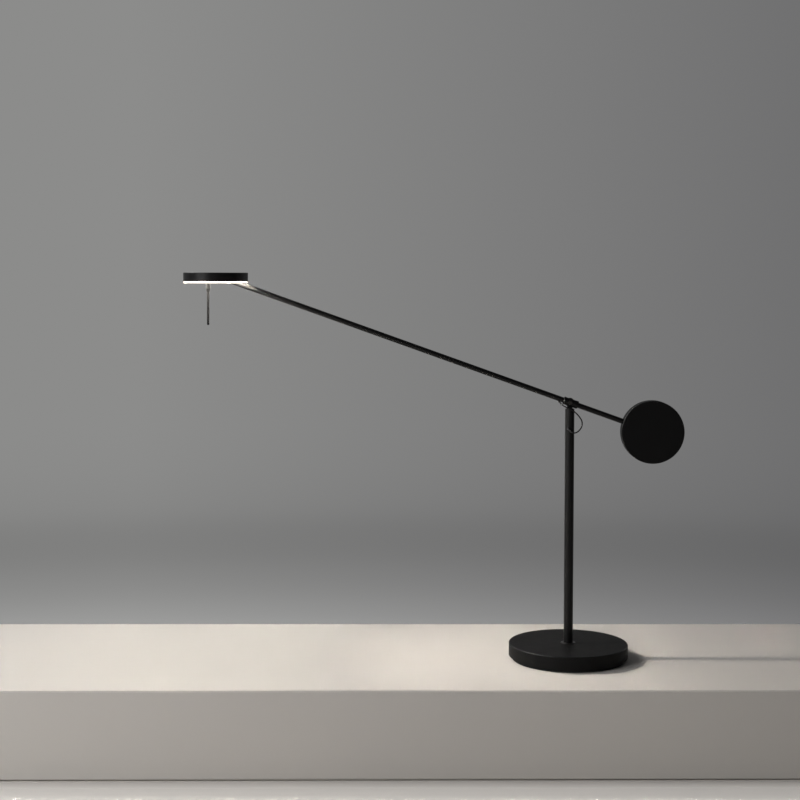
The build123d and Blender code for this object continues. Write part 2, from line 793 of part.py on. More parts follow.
with BuildPart() as diffuser:
    with BuildSketch(head_plane.offset(-diffuser_lip)):
        Circle(lip_radius)
    extrude(amount=diffuser_lip - seat_gap)
    fillet(diffuser.edges().group_by(Axis.Z)[0], diffuser_edge_radius)
    with BuildSketch(head_plane.offset(-seat_gap)):
        Circle(diffuser_radius)
    extrude(amount=seat_gap + diffuser_upstand)
    with BuildSketch(head_plane.offset(diffuser_plate - diffuser_lip)):
        Circle(diffuser_radius - diffuser_wall)
    extrude(amount=diffuser_lip + diffuser_upstand - diffuser_plate, mode=Mode.SUBTRACT)
    with BuildSketch(head_plane.offset(-diffuser_lip)):
        slot_outline(liner_wall + seat_gap)
        with Locations((-handle_offset, 0)):
            Circle(stud_diameter / 2 + 2 * seat_gap)
    extrude(amount=diffuser_lip + diffuser_upstand, mode=Mode.SUBTRACT)
write(diffuser.part, "diffuser")

# Turned ferrule: its stud goes up through the diffuser into the heat sink
stud_length = diffuser_lip + sink_bottom + stud_bite
with BuildPart() as handle_ferrule:
    with BuildSketch(handle_plane):
        Circle(ferrule_diameter / 2)
    extrude(amount=ferrule_taper - ferrule_length)
    with BuildSketch(handle_plane.offset(ferrule_taper - ferrule_length)):
        Circle(ferrule_diameter / 2)
    with BuildSketch(handle_plane.offset(-ferrule_length)):
        Circle(ferrule_mouth / 2)
    loft()
    with BuildSketch(handle_plane):
        Circle(stud_diameter / 2)
    extrude(amount=stud_length)
    with BuildSketch(handle_plane.offset(-ferrule_length)):
        Circle(rod_diameter / 2 + seat_gap)
    extrude(amount=ferrule_socket, mode=Mode.SUBTRACT)
write(handle_ferrule.part, "handle_ferrule")

with BuildPart() as handle_nut:
    with BuildSketch(handle_plane.offset(diffuser_lip + sink_bottom)):
        RegularPolygon(handle_nut_width / 2, 6, major_radius=False)
        Circle(stud_diameter / 2 + seat_gap, mode=Mode.SUBTRACT)
    extrude(amount=-handle_nut_height)
write(handle_nut.part, "handle_nut")

rod_top = ferrule_socket - ferrule_length - seat_gap
with BuildPart() as handle_rod:
    with BuildSketch(handle_plane.offset(rod_top)):
        Circle(rod_diameter / 2)
    extrude(amount=-rod_length)
    fillet(handle_rod.edges().group_by(Axis.Z)[0], rod_end_radius)
write(handle_rod.part, "handle_rod")

# ------------------------------------------------------------------------ cable

# The free loop, from the pole's grommet round to the arm's gland: points from the pivot
loop_points = [
    Vector(3.5, -15.4, -45.0),
    Vector(8.4, -16.2, -44.4),
    Vector(12.6, -14.6, -41.6),
    Vector(16.9, -13.4, -35.9),
    Vector(17.7, -12.5, -27.5),
    Vector(12.3, -12.2, -19.3),
    Vector(4.0, -12.0, -11.2),
    Vector(-5.0, -9.2, -7.4),
]
cable_route = [
    grommet_mouth,
    grommet_mouth + grommet_aim * grommet_run,
    *[pivot + point for point in loop_points],
    gland_mouth + gland_aim * gland_run,
    gland_mouth,
]
with BuildPart() as cable_loop:
    with BuildLine() as loop_line:
        wire_path(cable_route)
    with BuildSketch(Plane(grommet_mouth, z_dir=grommet_aim)):
        Circle(cable_diameter / 2)
    sweep()
write(cable_loop.part, "cable_loop")

loop_length = loop_line.wire().length
section_times_length = pi * cable_diameter**2 / 4 * loop_length
print("loop radii", [round(radius, 1) for radius in bend_radii(cable_route)])
print("loop length", round(loop_length, 1))
print("loop volume", round(cable_loop.part.volume, 1), "of", round(section_times_length, 1))
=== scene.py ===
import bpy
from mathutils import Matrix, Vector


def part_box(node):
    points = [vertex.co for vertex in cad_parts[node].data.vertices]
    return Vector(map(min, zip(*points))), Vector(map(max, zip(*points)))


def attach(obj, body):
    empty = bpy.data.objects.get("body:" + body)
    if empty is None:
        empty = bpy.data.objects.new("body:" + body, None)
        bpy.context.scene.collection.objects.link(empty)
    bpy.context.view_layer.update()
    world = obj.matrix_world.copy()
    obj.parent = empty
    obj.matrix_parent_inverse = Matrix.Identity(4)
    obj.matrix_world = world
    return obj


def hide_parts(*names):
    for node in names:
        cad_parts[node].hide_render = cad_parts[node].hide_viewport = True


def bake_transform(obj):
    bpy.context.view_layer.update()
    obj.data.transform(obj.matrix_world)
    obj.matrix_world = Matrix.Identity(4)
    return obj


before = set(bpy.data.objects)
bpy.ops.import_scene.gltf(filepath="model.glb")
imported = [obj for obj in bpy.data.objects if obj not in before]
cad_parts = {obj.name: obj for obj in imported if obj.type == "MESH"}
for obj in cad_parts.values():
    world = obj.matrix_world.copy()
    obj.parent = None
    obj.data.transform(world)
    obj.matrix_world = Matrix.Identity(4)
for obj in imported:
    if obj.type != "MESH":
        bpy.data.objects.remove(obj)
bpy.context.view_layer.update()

import math

import bmesh
import bpy
from mathutils import Matrix, Vector

# ---------------------------------------------------------------- camera
# A long lens at the height of the lit head, a little over two metres in front of the
# pole and left of it, so the pole and the thin head are both seen nearly square on.
CAMERA_PLACE = Vector((-0.2571, -2.3085, 0.5849))
CAMERA_PITCH_DOWN = math.radians(2.0)
CAMERA_ROLL = math.radians(0.191)
SENSOR_WIDTH = 36.0
FOCAL_LENGTH = 68.89
FRAME_SHIFT_Y = -0.0922


def in_scene(name, data):
    """An object that holds the data, linked to the scene."""
    made = bpy.data.objects.new(name, data)
    bpy.context.scene.collection.objects.link(made)
    return made


camera_data = bpy.data.cameras.new("camera")
camera_data.sensor_width = SENSOR_WIDTH
camera_data.lens = FOCAL_LENGTH
camera_data.shift_y = FRAME_SHIFT_Y
camera = in_scene("camera", camera_data)
camera.location = CAMERA_PLACE
camera_tilt = Matrix.Rotation(math.pi / 2 - CAMERA_PITCH_DOWN, 3, "X")
camera_roll = Matrix.Rotation(CAMERA_ROLL, 3, "Z")
camera.rotation_euler = (camera_tilt @ camera_roll).to_euler()
bpy.context.scene.camera = camera
bpy.context.scene.view_settings.view_transform = "Standard"

# ---------------------------------------------------------------- floor, backdrop and light
# A pale matt shelf on a lower step of the same kind, with a shadow gap near its foot. It
# ends a little behind the lamp, before a grey backdrop whose painted shade darkens it to the
# right. A large softbox stands to the left, and the room's front and right are dark.
FLOOR_HALF_WIDTH = 6.0
FLOOR_FRONT = -6.0
FLOOR_BACK = 0.228
FLOOR_TURN = 0.0147
SHELF_FRONT = -0.1817
SHELF_BOTTOM = -0.1256
GAP_BOTTOM = -0.1274
GAP_DEPTH = 0.006
STEP_TOP = -0.1370
STEP_BOTTOM = -0.20
FLOOR_EDGE_RADIUS = 0.0015
# The front, bottom and top of each block: the shelf, its recess, its foot and the step
FLOOR_BLOCKS = (
    (SHELF_FRONT, SHELF_BOTTOM, 0.0),
    (SHELF_FRONT + GAP_DEPTH, STEP_BOTTOM, SHELF_BOTTOM / 2),
    (SHELF_FRONT, STEP_BOTTOM, GAP_BOTTOM),
    (FLOOR_FRONT, STEP_BOTTOM, STEP_TOP),
)
FLOOR_COLOUR = (0.72, 0.69, 0.655)
FLOOR_ROUGHNESS = 0.75
FLOOR_SPECULAR = 0.2
STEP_PAINTED_LIGHT = 0.30
BACKDROP_LEFT = (0.262, 0.262, 0.258, 1.0)
BACKDROP_RIGHT = (0.158, 0.158, 0.160, 1.0)
BACKDROP_SPAN = (-0.17, 0.27)
BACKDROP_LOW, BACKDROP_HIGH = -0.23, -0.10
# Painted light and shade on the backdrop from its foot up to BACKDROP_HIGH, as pairs of share and
# factor
BACKDROP_SHADES = ((0.0, 1.42), (0.12, 1.17), (0.28, 0.93), (0.44, 0.82), (0.64, 0.93), (1.0, 1.0))
ROOM_BRIGHT_SIDE = Vector((-0.62, 0.55, 0.56)).normalized()
ROOM_DARK = (0.008, 0.008, 0.009, 1.0)
ROOM_BRIGHT = (0.10, 0.10, 0.10, 1.0)
# Name, place, what it faces, width, height, power in watts and spread in degrees
STUDIO_LIGHTS = (
    ("left_softbox", (-2.15, -1.60, 1.15), (-0.3, 0.0, 0.4), 1.5, 1.5, 27.0, 180.0),
    ("top_softbox", (-2.1, 0.5, 1.9), (-0.3, 0.0, 0.0), 1.3, 1.3, 23.5, 180.0),
    ("right_back_strip", (1.6, 1.5, 0.9), (0.0, 0.0, 0.3), 0.4, 1.6, 0.6, 180.0),
    ("front_floor_light", (-0.3, -3.4, 2.4), (-0.3, -3.4, 0.0), 8.0, 3.2, 42.0, 90.0),
)


def connect(tree, target, value):
    """Links a node's input to a socket, or sets it to a plain value."""
    if isinstance(value, bpy.types.NodeSocket):
        tree.links.new(value, target)
    else:
        target.default_value = value


def wire(tree, kind, inputs=None, **settings):
    """A new node with its settings and its inputs, each a socket or a plain value."""
    made = tree.nodes.new(kind)
    for name, value in settings.items():
        setattr(made, name, value)
    for name, value in (inputs or {}).items():
        connect(tree, made.inputs[name], value)
    return made


def new_material(name):
    """A material: itself, its node tree, its Principled surface and the Object coordinates."""
    material = bpy.data.materials.new(name)
    material.use_nodes = True
    tree = material.node_tree
    place = wire(tree, "ShaderNodeTexCoord").outputs["Object"]
    return material, tree, tree.nodes["Principled BSDF"], place


def feed(tree, surface, **sources):
    """Gives the surface's inputs, named with _ for each space, a socket or a plain value."""
    for name, source in sources.items():
        connect(tree, surface.inputs[name.replace("_", " ")], source)


def math_node(tree, operation, *inputs):
    """The result of a Math node on sockets or numbers."""
    return wire(tree, "ShaderNodeMath", dict(enumerate(inputs)), operation=operation).outputs[0]


def product(tree, first, second):
    return math_node(tree, "MULTIPLY", first, second)


def scaled(tree, source, low, high, start=0.0, end=1.0, smooth=False):
    """The socket source, mapped from start..end to low..high and held there."""
    ends = {"Value": source, "From Min": start, "From Max": end, "To Min": low, "To Max": high}
    kind = "SMOOTHSTEP" if smooth else "LINEAR"
    return wire(tree, "ShaderNodeMapRange", ends, interpolation_type=kind).outputs["Result"]


def brightened(tree, colour, factor):
    """A colour times a factor that changes over the surface."""
    made = wire(tree, "ShaderNodeVectorMath", {0: colour, "Scale": factor}, operation="SCALE")
    return made.outputs["Vector"]


def colour_mix(tree, share, first, second):
    """The first colour where share is 0, and the second where it is 1."""
    return wire(tree, "ShaderNodeMix", {0: share, 6: first, 7: second}, data_type="RGBA").outputs[2]


def noise(tree, place, scale, detail=3.0, roughness=0.5):
    inputs = {"Vector": place, "Scale": scale, "Detail": detail, "Roughness": roughness}
    return wire(tree, "ShaderNodeTexNoise", inputs).outputs["Fac"]


blocks = bmesh.new()
floor_turn = Matrix.Rotation(FLOOR_TURN, 4, "Z")
for front, bottom, top in FLOOR_BLOCKS:
    size = Matrix.Diagonal((2 * FLOOR_HALF_WIDTH, FLOOR_BACK - front, top - bottom, 1.0))
    centre = Matrix.Translation((0.0, (FLOOR_BACK + front) / 2, (top + bottom) / 2))
    bmesh.ops.create_cube(blocks, size=1.0, matrix=floor_turn @ centre @ size)
edges = blocks.edges[:]
bmesh.ops.bevel(blocks, geom=edges, offset=FLOOR_EDGE_RADIUS, segments=3, affect="EDGES")
floor_mesh = bpy.data.meshes.new("floor")
blocks.to_mesh(floor_mesh)
blocks.free()
floor = in_scene("floor", floor_mesh)

# Painted light on the lower step: the shelf shades it, so for the camera the step also glows with
# some of its own colour
floor_material, tree, surface, place = new_material("floor_pale_matt")
mottle = scaled(tree, noise(tree, place, 3.0), 0.98, 1.02)
level = wire(tree, "ShaderNodeSeparateXYZ", {"Vector": place}).outputs["Z"]
on_step = scaled(tree, level, STEP_PAINTED_LIGHT, 0.0, STEP_TOP, GAP_BOTTOM)
step_painted_light = product(tree, on_step, wire(tree, "ShaderNodeLightPath").outputs["Is Camera Ray"])
feed(
    tree,
    surface,
    Base_Color=brightened(tree, FLOOR_COLOUR, mottle),
    Roughness=FLOOR_ROUGHNESS,
    Specular_IOR_Level=FLOOR_SPECULAR,
    # Painted light: the step's glow, seen only by the camera
    Emission_Color=brightened(tree, FLOOR_COLOUR, step_painted_light),
    Emission_Strength=1.0,
)
floor_mesh.materials.append(floor_material)

world = bpy.data.worlds.new("studio")
bpy.context.scene.world = world
world.use_nodes = True
tree = world.node_tree
direction = wire(tree, "ShaderNodeTexCoord").outputs["Generated"]
heading = wire(tree, "ShaderNodeSeparateXYZ", {"Vector": direction}).outputs
# Painted shade: the backdrop darkens from left to right, and painted light and shade run up from
# its foot
to_right = scaled(tree, heading["X"], 0.0, 1.0, *BACKDROP_SPAN)
backdrop = colour_mix(tree, to_right, BACKDROP_LEFT, BACKDROP_RIGHT)
rise = scaled(tree, heading["Z"], 0.0, 1.0, BACKDROP_LOW, BACKDROP_HIGH)
foot_shade = wire(tree, "ShaderNodeFloatCurve", {"Value": rise})
foot_shade.mapping.clip_max_y = 2.0
shade_points = foot_shade.mapping.curves[0].points
shade_points[0].location = BACKDROP_SHADES[0]
shade_points[1].location = BACKDROP_SHADES[-1]
for share, shade in BACKDROP_SHADES[1:-1]:
    shade_points.new(share, shade)
foot_shade.mapping.update()
shaded = brightened(tree, backdrop, foot_shade.outputs[0])
turned = wire(
    tree,
    "ShaderNodeVectorMath",
    {0: direction, 1: ROOM_BRIGHT_SIDE},
    operation="DOT_PRODUCT",
)
to_bright = scaled(tree, turned.outputs["Value"], 0.0, 1.0, -0.35, 0.9, smooth=True)
room = colour_mix(tree, to_bright, ROOM_DARK, ROOM_BRIGHT)
# Polished and clear pieces mirror the backdrop where it stands, behind the lamp
rays = wire(tree, "ShaderNodeLightPath").outputs
mirrored = math_node(tree, "MAXIMUM", rays["Is Glossy Ray"], rays["Is Transmission Ray"])
reflected = product(tree, mirrored, scaled(tree, heading["Y"], 0.0, 1.0, 0.0, 0.3))
on_view = math_node(tree, "MAXIMUM", rays["Is Camera Ray"], reflected)
shown = colour_mix(tree, on_view, room, shaded)
tree.links.new(shown, tree.nodes["Background"].inputs["Color"])

for name, place, aim, width, height, power, spread in STUDIO_LIGHTS:
    light_data = bpy.data.lights.new(name, "AREA")
    light_data.shape = "RECTANGLE"
    light_data.size = width
    light_data.size_y = height
    light_data.energy = power
    light_data.spread = math.radians(spread)
    light = in_scene(name, light_data)
    light.location = place
    light.rotation_euler = (Vector(aim) - light.location).to_track_quat("-Z", "Y").to_euler()
    light.visible_camera = False

# ---------------------------------------------------------------- cable loop
# A thin round cable in a smooth, slightly glossy soft sheath. It leaves the arm beside
# the hub, hangs in one open loop beside the pole and goes into the pole's front.
CABLE_DIAMETER = 0.002
CABLE_COLOUR = (0.006, 0.006, 0.0065)
CABLE_SPECULAR = 0.28
PIVOT = Vector((0.0, 0.0, 0.390))
GROMMET_MOUTH = Vector((-0.0019477, -0.0086650, 0.3488973))
GROMMET_AIM = Vector((0.30, -0.88, -0.36)).normalized()
GLAND_MOUTH = Vector((-0.0155495, -0.0020005, 0.3905421))
GLAND_AIM = Vector((0.53, -0.25, -0.81)).normalized()
GROMMET_RUN = 0.005
GLAND_RUN = 0.0055
# The loop's control points, seen from the arm's pivot
LOOP_POINTS = [
    Vector((0.0035, -0.0154, -0.0450)),
    Vector((0.0084, -0.0162, -0.0444)),
    Vector((0.0126, -0.0146, -0.0416)),
    Vector((0.0169, -0.0134, -0.0359)),
    Vector((0.0177, -0.0125, -0.0275)),
    Vector((0.0123, -0.0122, -0.0193)),
    Vector((0.0040, -0.0120, -0.0112)),
    Vector((-0.0050, -0.0092, -0.0074)),
]
cable_route = [
    GROMMET_MOUTH,
    GROMMET_MOUTH + GROMMET_AIM * GROMMET_RUN,
    *[PIVOT + point for point in LOOP_POINTS],
    GLAND_MOUTH + GLAND_AIM * GLAND_RUN,
    GLAND_MOUTH,
]


def curve_mesh(name, points, radius):
    """The mesh of a smooth curve along a route: a tube, or its bare line where radius is 0."""
    data = bpy.data.curves.new(name + "_curve", "CURVE")
    data.dimensions = "3D"
    data.resolution_u = 24
    data.bevel_depth = radius
    data.bevel_resolution = 6
    data.use_fill_caps = True
    spline = data.splines.new("NURBS")
    spline.points.add(len(points) - 1)
    for spot, point in zip(spline.points, points):
        spot.co = (*point, 1.0)
    spline.order_u = 3
    spline.use_endpoint_u = True
    curve = in_scene(name + "_curve", data)
    mesh = bpy.data.meshes.new_from_object(curve)
    mesh.name = name
    bpy.data.objects.remove(curve)
    return mesh


def bumped(tree, height, strength, depth):
    """A normal that a height field of the given depth in metres leans."""
    inputs = {"Height": height, "Strength": strength, "Distance": depth}
    return wire(tree, "ShaderNodeBump", inputs).outputs["Normal"]


bare_line = curve_mesh("cable_line", cable_route, 0.0)
cable_mesh = curve_mesh("cable_sheath", cable_route, CABLE_DIAMETER / 2)
for face in cable_mesh.polygons:
    face.use_smooth = True
cable_loop = in_scene("cable_sheath", cable_mesh)

sheath, tree, surface, place = new_material("cable_sheath_gloss")
drag = noise(tree, place, 900.0, detail=2.0)
feed(
    tree,
    surface,
    Base_Color=brightened(tree, CABLE_COLOUR, scaled(tree, drag, 0.8, 1.2)),
    Roughness=scaled(tree, drag, 0.20, 0.32),
    Normal=bumped(tree, drag, 0.06, 0.0001),
    Specular_IOR_Level=CABLE_SPECULAR,
)
cable_mesh.materials.append(sheath)

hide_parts("cable_loop")
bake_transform(cable_loop)

# ---------------------------------------------------------------- base cover
# A turned steel cover in a fine matt black powder coat, with a small rounded top edge
# that hands have rubbed a little smoother. Fine dust lies on its flat top.
UPRIGHT = (0.0, 0.0, 0.0)
BASE_CENTRE = (0.0, 0.0, 0.0)
BASE_RADIUS = 0.090
BASE_DUST = 0.03
DUST_TONE = (0.055, 0.053, 0.050, 1.0)
EDGE_RUB_WIDTH = 0.0015
EDGE_POLISH = 0.9
EDGE_POLISH_ROUGHNESS = 0.16
COAT_TONE = (0.0055, 0.0055, 0.0058, 1.0)
COAT_ROUGHNESS = 0.55
COAT_SPECULAR = 0.12
COAT_GRAIN = 0.00045
COAT_RELIEF = 0.10
COAT_DEPTH = 0.0002


def effect_group(name, inputs, outputs):
    """An empty shader node group with named sockets: its tree, group input and group output."""
    tree = bpy.data.node_groups.new(name, "ShaderNodeTree")
    for label, kind, value in inputs:
        tree.interface.new_socket(label, in_out="INPUT", socket_type=kind).default_value = value
    for label, kind in outputs:
        tree.interface.new_socket(label, in_out="OUTPUT", socket_type=kind)
    given = tree.nodes.new("NodeGroupInput").outputs
    return tree, given, tree.nodes.new("NodeGroupOutput").inputs


def group_node(tree, group, inputs):
    """The shader group placed in a material with this material's own values: its outputs."""
    return wire(tree, "ShaderNodeGroup", inputs, node_tree=group).outputs


def per(tree, size):
    """One over a size given by a socket, as a texture's scale."""
    return math_node(tree, "DIVIDE", 1.0, size)


def axis_distance(tree, place):
    """How far a place lies from its own Z axis."""
    flat = wire(tree, "ShaderNodeVectorMath", {0: place, 1: (1.0, 1.0, 0.0)}, operation="MULTIPLY")
    length = wire(tree, "ShaderNodeVectorMath", {0: flat.outputs["Vector"]}, operation="LENGTH")
    return length.outputs["Value"]


# The coat's orange peel and specks, with patches where it has been handled
powder_coat, given, out = effect_group(
    "powder_coat",
    [
        ("Vector", "NodeSocketVector", (0.0, 0.0, 0.0)),
        ("Tone", "NodeSocketColor", (0.02, 0.02, 0.02, 1.0)),
        ("Roughness", "NodeSocketFloat", 0.5),
        ("Grain", "NodeSocketFloat", 0.0005),
    ],
    [("Color", "NodeSocketColor"), ("Roughness", "NodeSocketFloat"), ("Height", "NodeSocketFloat")],
)
density = per(powder_coat, given["Grain"])
peel = wire(
    powder_coat,
    "ShaderNodeTexVoronoi",
    {"Vector": given["Vector"], "Scale": density, "Smoothness": 1.0},
    feature="SMOOTH_F1",
)
speck = scaled(powder_coat, noise(powder_coat, given["Vector"], density), 0.72, 1.28)
handling = noise(powder_coat, given["Vector"], 26.0, detail=4.0, roughness=0.6)
shading = product(powder_coat, speck, scaled(powder_coat, handling, 0.88, 1.12))
patchy = product(powder_coat, given["Roughness"], scaled(powder_coat, handling, 0.86, 1.14))
powder_coat.links.new(brightened(powder_coat, given["Tone"], shading), out["Color"])
powder_coat.links.new(patchy, out["Roughness"])
powder_coat.links.new(peel.outputs["Distance"], out["Height"])

# Where fingers rub a round rim: its rounded edge, within the given width of its radius
rim_rub, given, out = effect_group(
    "rim_rub",
    [
        ("Vector", "NodeSocketVector", (0.0, 0.0, 0.0)),
        ("Facing", "NodeSocketVector", (0.0, 0.0, 1.0)),
        ("Radius", "NodeSocketFloat", 0.05),
        ("Width", "NodeSocketFloat", 0.002),
    ],
    [("Mask", "NodeSocketFloat")],
)
inset = math_node(rim_rub, "SUBTRACT", given["Radius"], axis_distance(rim_rub, given["Vector"]))
share = math_node(rim_rub, "DIVIDE", inset, given["Width"])
band = scaled(rim_rub, share, 1.0, 0.0, smooth=True)
leaning = wire(rim_rub, "ShaderNodeSeparateXYZ", {"Vector": given["Facing"]}).outputs["Z"]
leaning = math_node(rim_rub, "ABSOLUTE", leaning)
off_side = scaled(rim_rub, leaning, 0.0, 1.0, 0.10, 0.40, smooth=True)
off_flat = scaled(rim_rub, leaning, 1.0, 0.0, 0.93, 0.998, smooth=True)
rounded = product(rim_rub, product(rim_rub, off_side, off_flat), band)
worn = scaled(rim_rub, noise(rim_rub, given["Vector"], 90.0), 0.5, 1.0, 0.35, 0.65)
rim_rub.links.new(product(rim_rub, rounded, worn), out["Mask"])

# Dust that settles on faces that look up, in soft drifts with finer specks
settled_dust, given, out = effect_group(
    "settled_dust",
    [
        ("Vector", "NodeSocketVector", (0.0, 0.0, 0.0)),
        ("Facing", "NodeSocketVector", (0.0, 0.0, 1.0)),
        ("Amount", "NodeSocketFloat", 0.1),
    ],
    [("Mask", "NodeSocketFloat")],
)
upward = wire(settled_dust, "ShaderNodeSeparateXYZ", {"Vector": given["Facing"]}).outputs["Z"]
level = scaled(settled_dust, upward, 0.0, 1.0, 0.6, 0.95, smooth=True)
drift = noise(settled_dust, given["Vector"], 35.0, detail=5.0)
drift = scaled(settled_dust, drift, 0.3, 1.0, 0.35, 0.7)
specks = noise(settled_dust, given["Vector"], 1500.0, detail=2.0)
specks = scaled(settled_dust, specks, 0.5, 1.6, 0.4, 0.7)
amount = product(settled_dust, product(settled_dust, level, drift), specks)
settled_dust.links.new(product(settled_dust, amount, given["Amount"]), out["Mask"])


def centred(tree, place, centre, turn=UPRIGHT):
    """Coordinates whose own centre is at centre and whose Z axis is turned by turn."""
    inputs = {"Vector": place, "Location": centre, "Rotation": turn}
    return wire(tree, "ShaderNodeMapping", inputs, vector_type="TEXTURE").outputs["Vector"]


def coated(
    name,
    roughness=COAT_ROUGHNESS,
    gloss=COAT_SPECULAR,
    grain=COAT_GRAIN,
    relief=COAT_RELIEF,
    rub=None,
    dust=0.0,
):
    """A powder-coated finish. rub gives the rubbed rim's centre, radius and axis turn."""
    material, tree, surface, place = new_material(name)
    normal = place.node.outputs["Normal"]
    inputs = {"Vector": place, "Tone": COAT_TONE, "Roughness": roughness, "Grain": grain}
    coat = group_node(tree, powder_coat, inputs)
    colour = coat["Color"]
    if rub:
        centre, rim, turn = rub
        inputs = {
            "Vector": centred(tree, place, centre, turn),
            "Facing": centred(tree, normal, (0.0, 0.0, 0.0), turn),
            "Radius": rim,
            "Width": EDGE_RUB_WIDTH,
        }
        mask = group_node(tree, rim_rub, inputs)["Mask"]
        polish = product(tree, mask, EDGE_POLISH)
        feed(tree, surface, Coat_Weight=polish, Coat_Roughness=EDGE_POLISH_ROUGHNESS)
    if dust:
        inputs = {"Vector": place, "Facing": normal, "Amount": dust}
        mask = group_node(tree, settled_dust, inputs)["Mask"]
        colour = colour_mix(tree, mask, colour, DUST_TONE)
    feed(
        tree,
        surface,
        Base_Color=colour,
        Roughness=coat["Roughness"],
        Normal=bumped(tree, coat["Height"], relief, COAT_DEPTH),
        Specular_IOR_Level=gloss,
    )
    return material


def dress(material, *names):
    """Gives a material to CAD nodes, in the material slots that they have."""
    for name in names:
        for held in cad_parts[name].material_slots:
            held.material = material


base_rim = (BASE_CENTRE, BASE_RADIUS, UPRIGHT)
dress(coated("base_powder_coat", rub=base_rim, dust=BASE_DUST), "base_cover")

# ---------------------------------------------------------------- steel inside the base
# A cut and turned steel ring gives the base its weight, over a black-coated steel plate
# that closes it from below. Ring, stop pin, end plug and washer are zinc plated.
ZINC_TONE = (0.50, 0.50, 0.51)
ZINC_TURNED_ROUGHNESS = 0.34
ZINC_TURNED_SPACING = 0.0003
PLATE_ROUGHNESS = 0.52
MARK_RELIEF = 0.15
MARK_DEPTH = 0.00005

# Fine marks of a lathe: rings about Z at the given spacing, uneven from ring to ring
turning_marks, given, out = effect_group(
    "turning_marks",
    [("Vector", "NodeSocketVector", (0.0, 0.0, 0.0)), ("Spacing", "NodeSocketFloat", 0.0003)],
    [("Height", "NodeSocketFloat")],
)
density = per(turning_marks, given["Spacing"])
rings = wire(
    turning_marks,
    "ShaderNodeTexNoise",
    {"W": axis_distance(turning_marks, given["Vector"]), "Scale": density, "Detail": 2.0},
    noise_dimensions="1D",
)
turning_marks.links.new(rings.outputs["Fac"], out["Height"])

# Long fine scratches along the vector's Z axis, as drawn or rolled metal has
drawn_grain, given, out = effect_group(
    "drawn_grain",
    [("Vector", "NodeSocketVector", (0.0, 0.0, 0.0)), ("Spacing", "NodeSocketFloat", 0.0002)],
    [("Height", "NodeSocketFloat")],
)
stretched = wire(
    drawn_grain,
    "ShaderNodeVectorMath",
    {0: given["Vector"], 1: (1.0, 1.0, 0.02)},
    operation="MULTIPLY",
)
density = per(drawn_grain, given["Spacing"])
scratch = noise(drawn_grain, stretched.outputs["Vector"], density, detail=2.0)
drawn_grain.links.new(scratch, out["Height"])


def metal(name, tone, roughness, marks, spacing, centre=BASE_CENTRE, turn=UPRIGHT):
    """A bare or plated metal with turned or drawn marks about the given axis."""
    material, tree, surface, place = new_material(name)
    about = centred(tree, place, centre, turn)
    height = group_node(tree, marks, {"Vector": about, "Spacing": spacing})["Height"]
    stain = noise(tree, place, 120.0, detail=4.0)
    stained = scaled(tree, stain, roughness * 0.8, roughness * 1.2)
    feed(
        tree,
        surface,
        Base_Color=brightened(tree, tone, scaled(tree, stain, 0.85, 1.12)),
        Roughness=product(tree, scaled(tree, height, 0.85, 1.15), stained),
        Normal=bumped(tree, height, MARK_RELIEF, MARK_DEPTH),
        Metallic=1.0,
    )
    return material


zinc_turned = metal(
    "zinc_steel_turned", ZINC_TONE, ZINC_TURNED_ROUGHNESS, turning_marks, ZINC_TURNED_SPACING
)
dress(zinc_turned, "base_ballast", "pole_end_plug", "swivel_washer", "swivel_stop_pin")
dress(coated("plate_black_coat", roughness=PLATE_ROUGHNESS), "base_plate")

# ---------------------------------------------------------------- foot pad
# A firm disc of closed-cell rubber foam glued under the plate, cut with a sharp edge.
# Its skin shows fine cells and the marks of the table.
PAD_TONE = (0.017, 0.017, 0.017)
PAD_CELL_DEPTH = 0.0002
pad_foam, tree, surface, place = new_material("foot_pad_foam")
cells = wire(tree, "ShaderNodeTexVoronoi", {"Vector": place, "Scale": 1800.0}, feature="F1")
pressed = scaled(tree, noise(tree, place, 60.0), 0.7, 1.4)
feed(
    tree,
    surface,
    Base_Color=brightened(tree, PAD_TONE, pressed),
    Roughness=scaled(tree, cells.outputs["Distance"], 0.95, 0.75),
    Normal=bumped(tree, cells.outputs["Distance"], 0.5, PAD_CELL_DEPTH),
)
dress(pad_foam, "base_pad")

# ---------------------------------------------------------------- swivel bush
# The black flanged bush that the pole turns in. Its thin flange is the ring at the
# pole's foot, a little glossier than the cover, with fine turned rings.
BUSH_TONE = (0.0055, 0.0055, 0.006)
BUSH_ROUGHNESS = 0.30
BUSH_SPECULAR = 0.42
BUSH_SPACING = 0.00025
SMOOTH_RELIEF = 0.10
SMOOTH_DEPTH = 0.00004


def turned_black(name, centre, tone, roughness, gloss, spacing):
    """A smooth black coat over turned metal, whose rings still show faintly."""
    material, tree, surface, place = new_material(name)
    about = centred(tree, place, centre)
    marks = group_node(tree, turning_marks, {"Vector": about, "Spacing": spacing})["Height"]
    stain = noise(tree, place, 70.0, detail=4.0)
    stained = scaled(tree, stain, roughness * 0.85, roughness * 1.15)
    feed(
        tree,
        surface,
        Base_Color=brightened(tree, tone, scaled(tree, stain, 0.8, 1.2)),
        Roughness=product(tree, scaled(tree, marks, 0.9, 1.1), stained),
        Normal=bumped(tree, marks, SMOOTH_RELIEF, SMOOTH_DEPTH),
        Specular_IOR_Level=gloss,
    )
    return material


bush_black = turned_black(
    "bush_turned_black", BASE_CENTRE, BUSH_TONE, BUSH_ROUGHNESS, BUSH_SPECULAR, BUSH_SPACING
)
dress(bush_black, "swivel_bush")

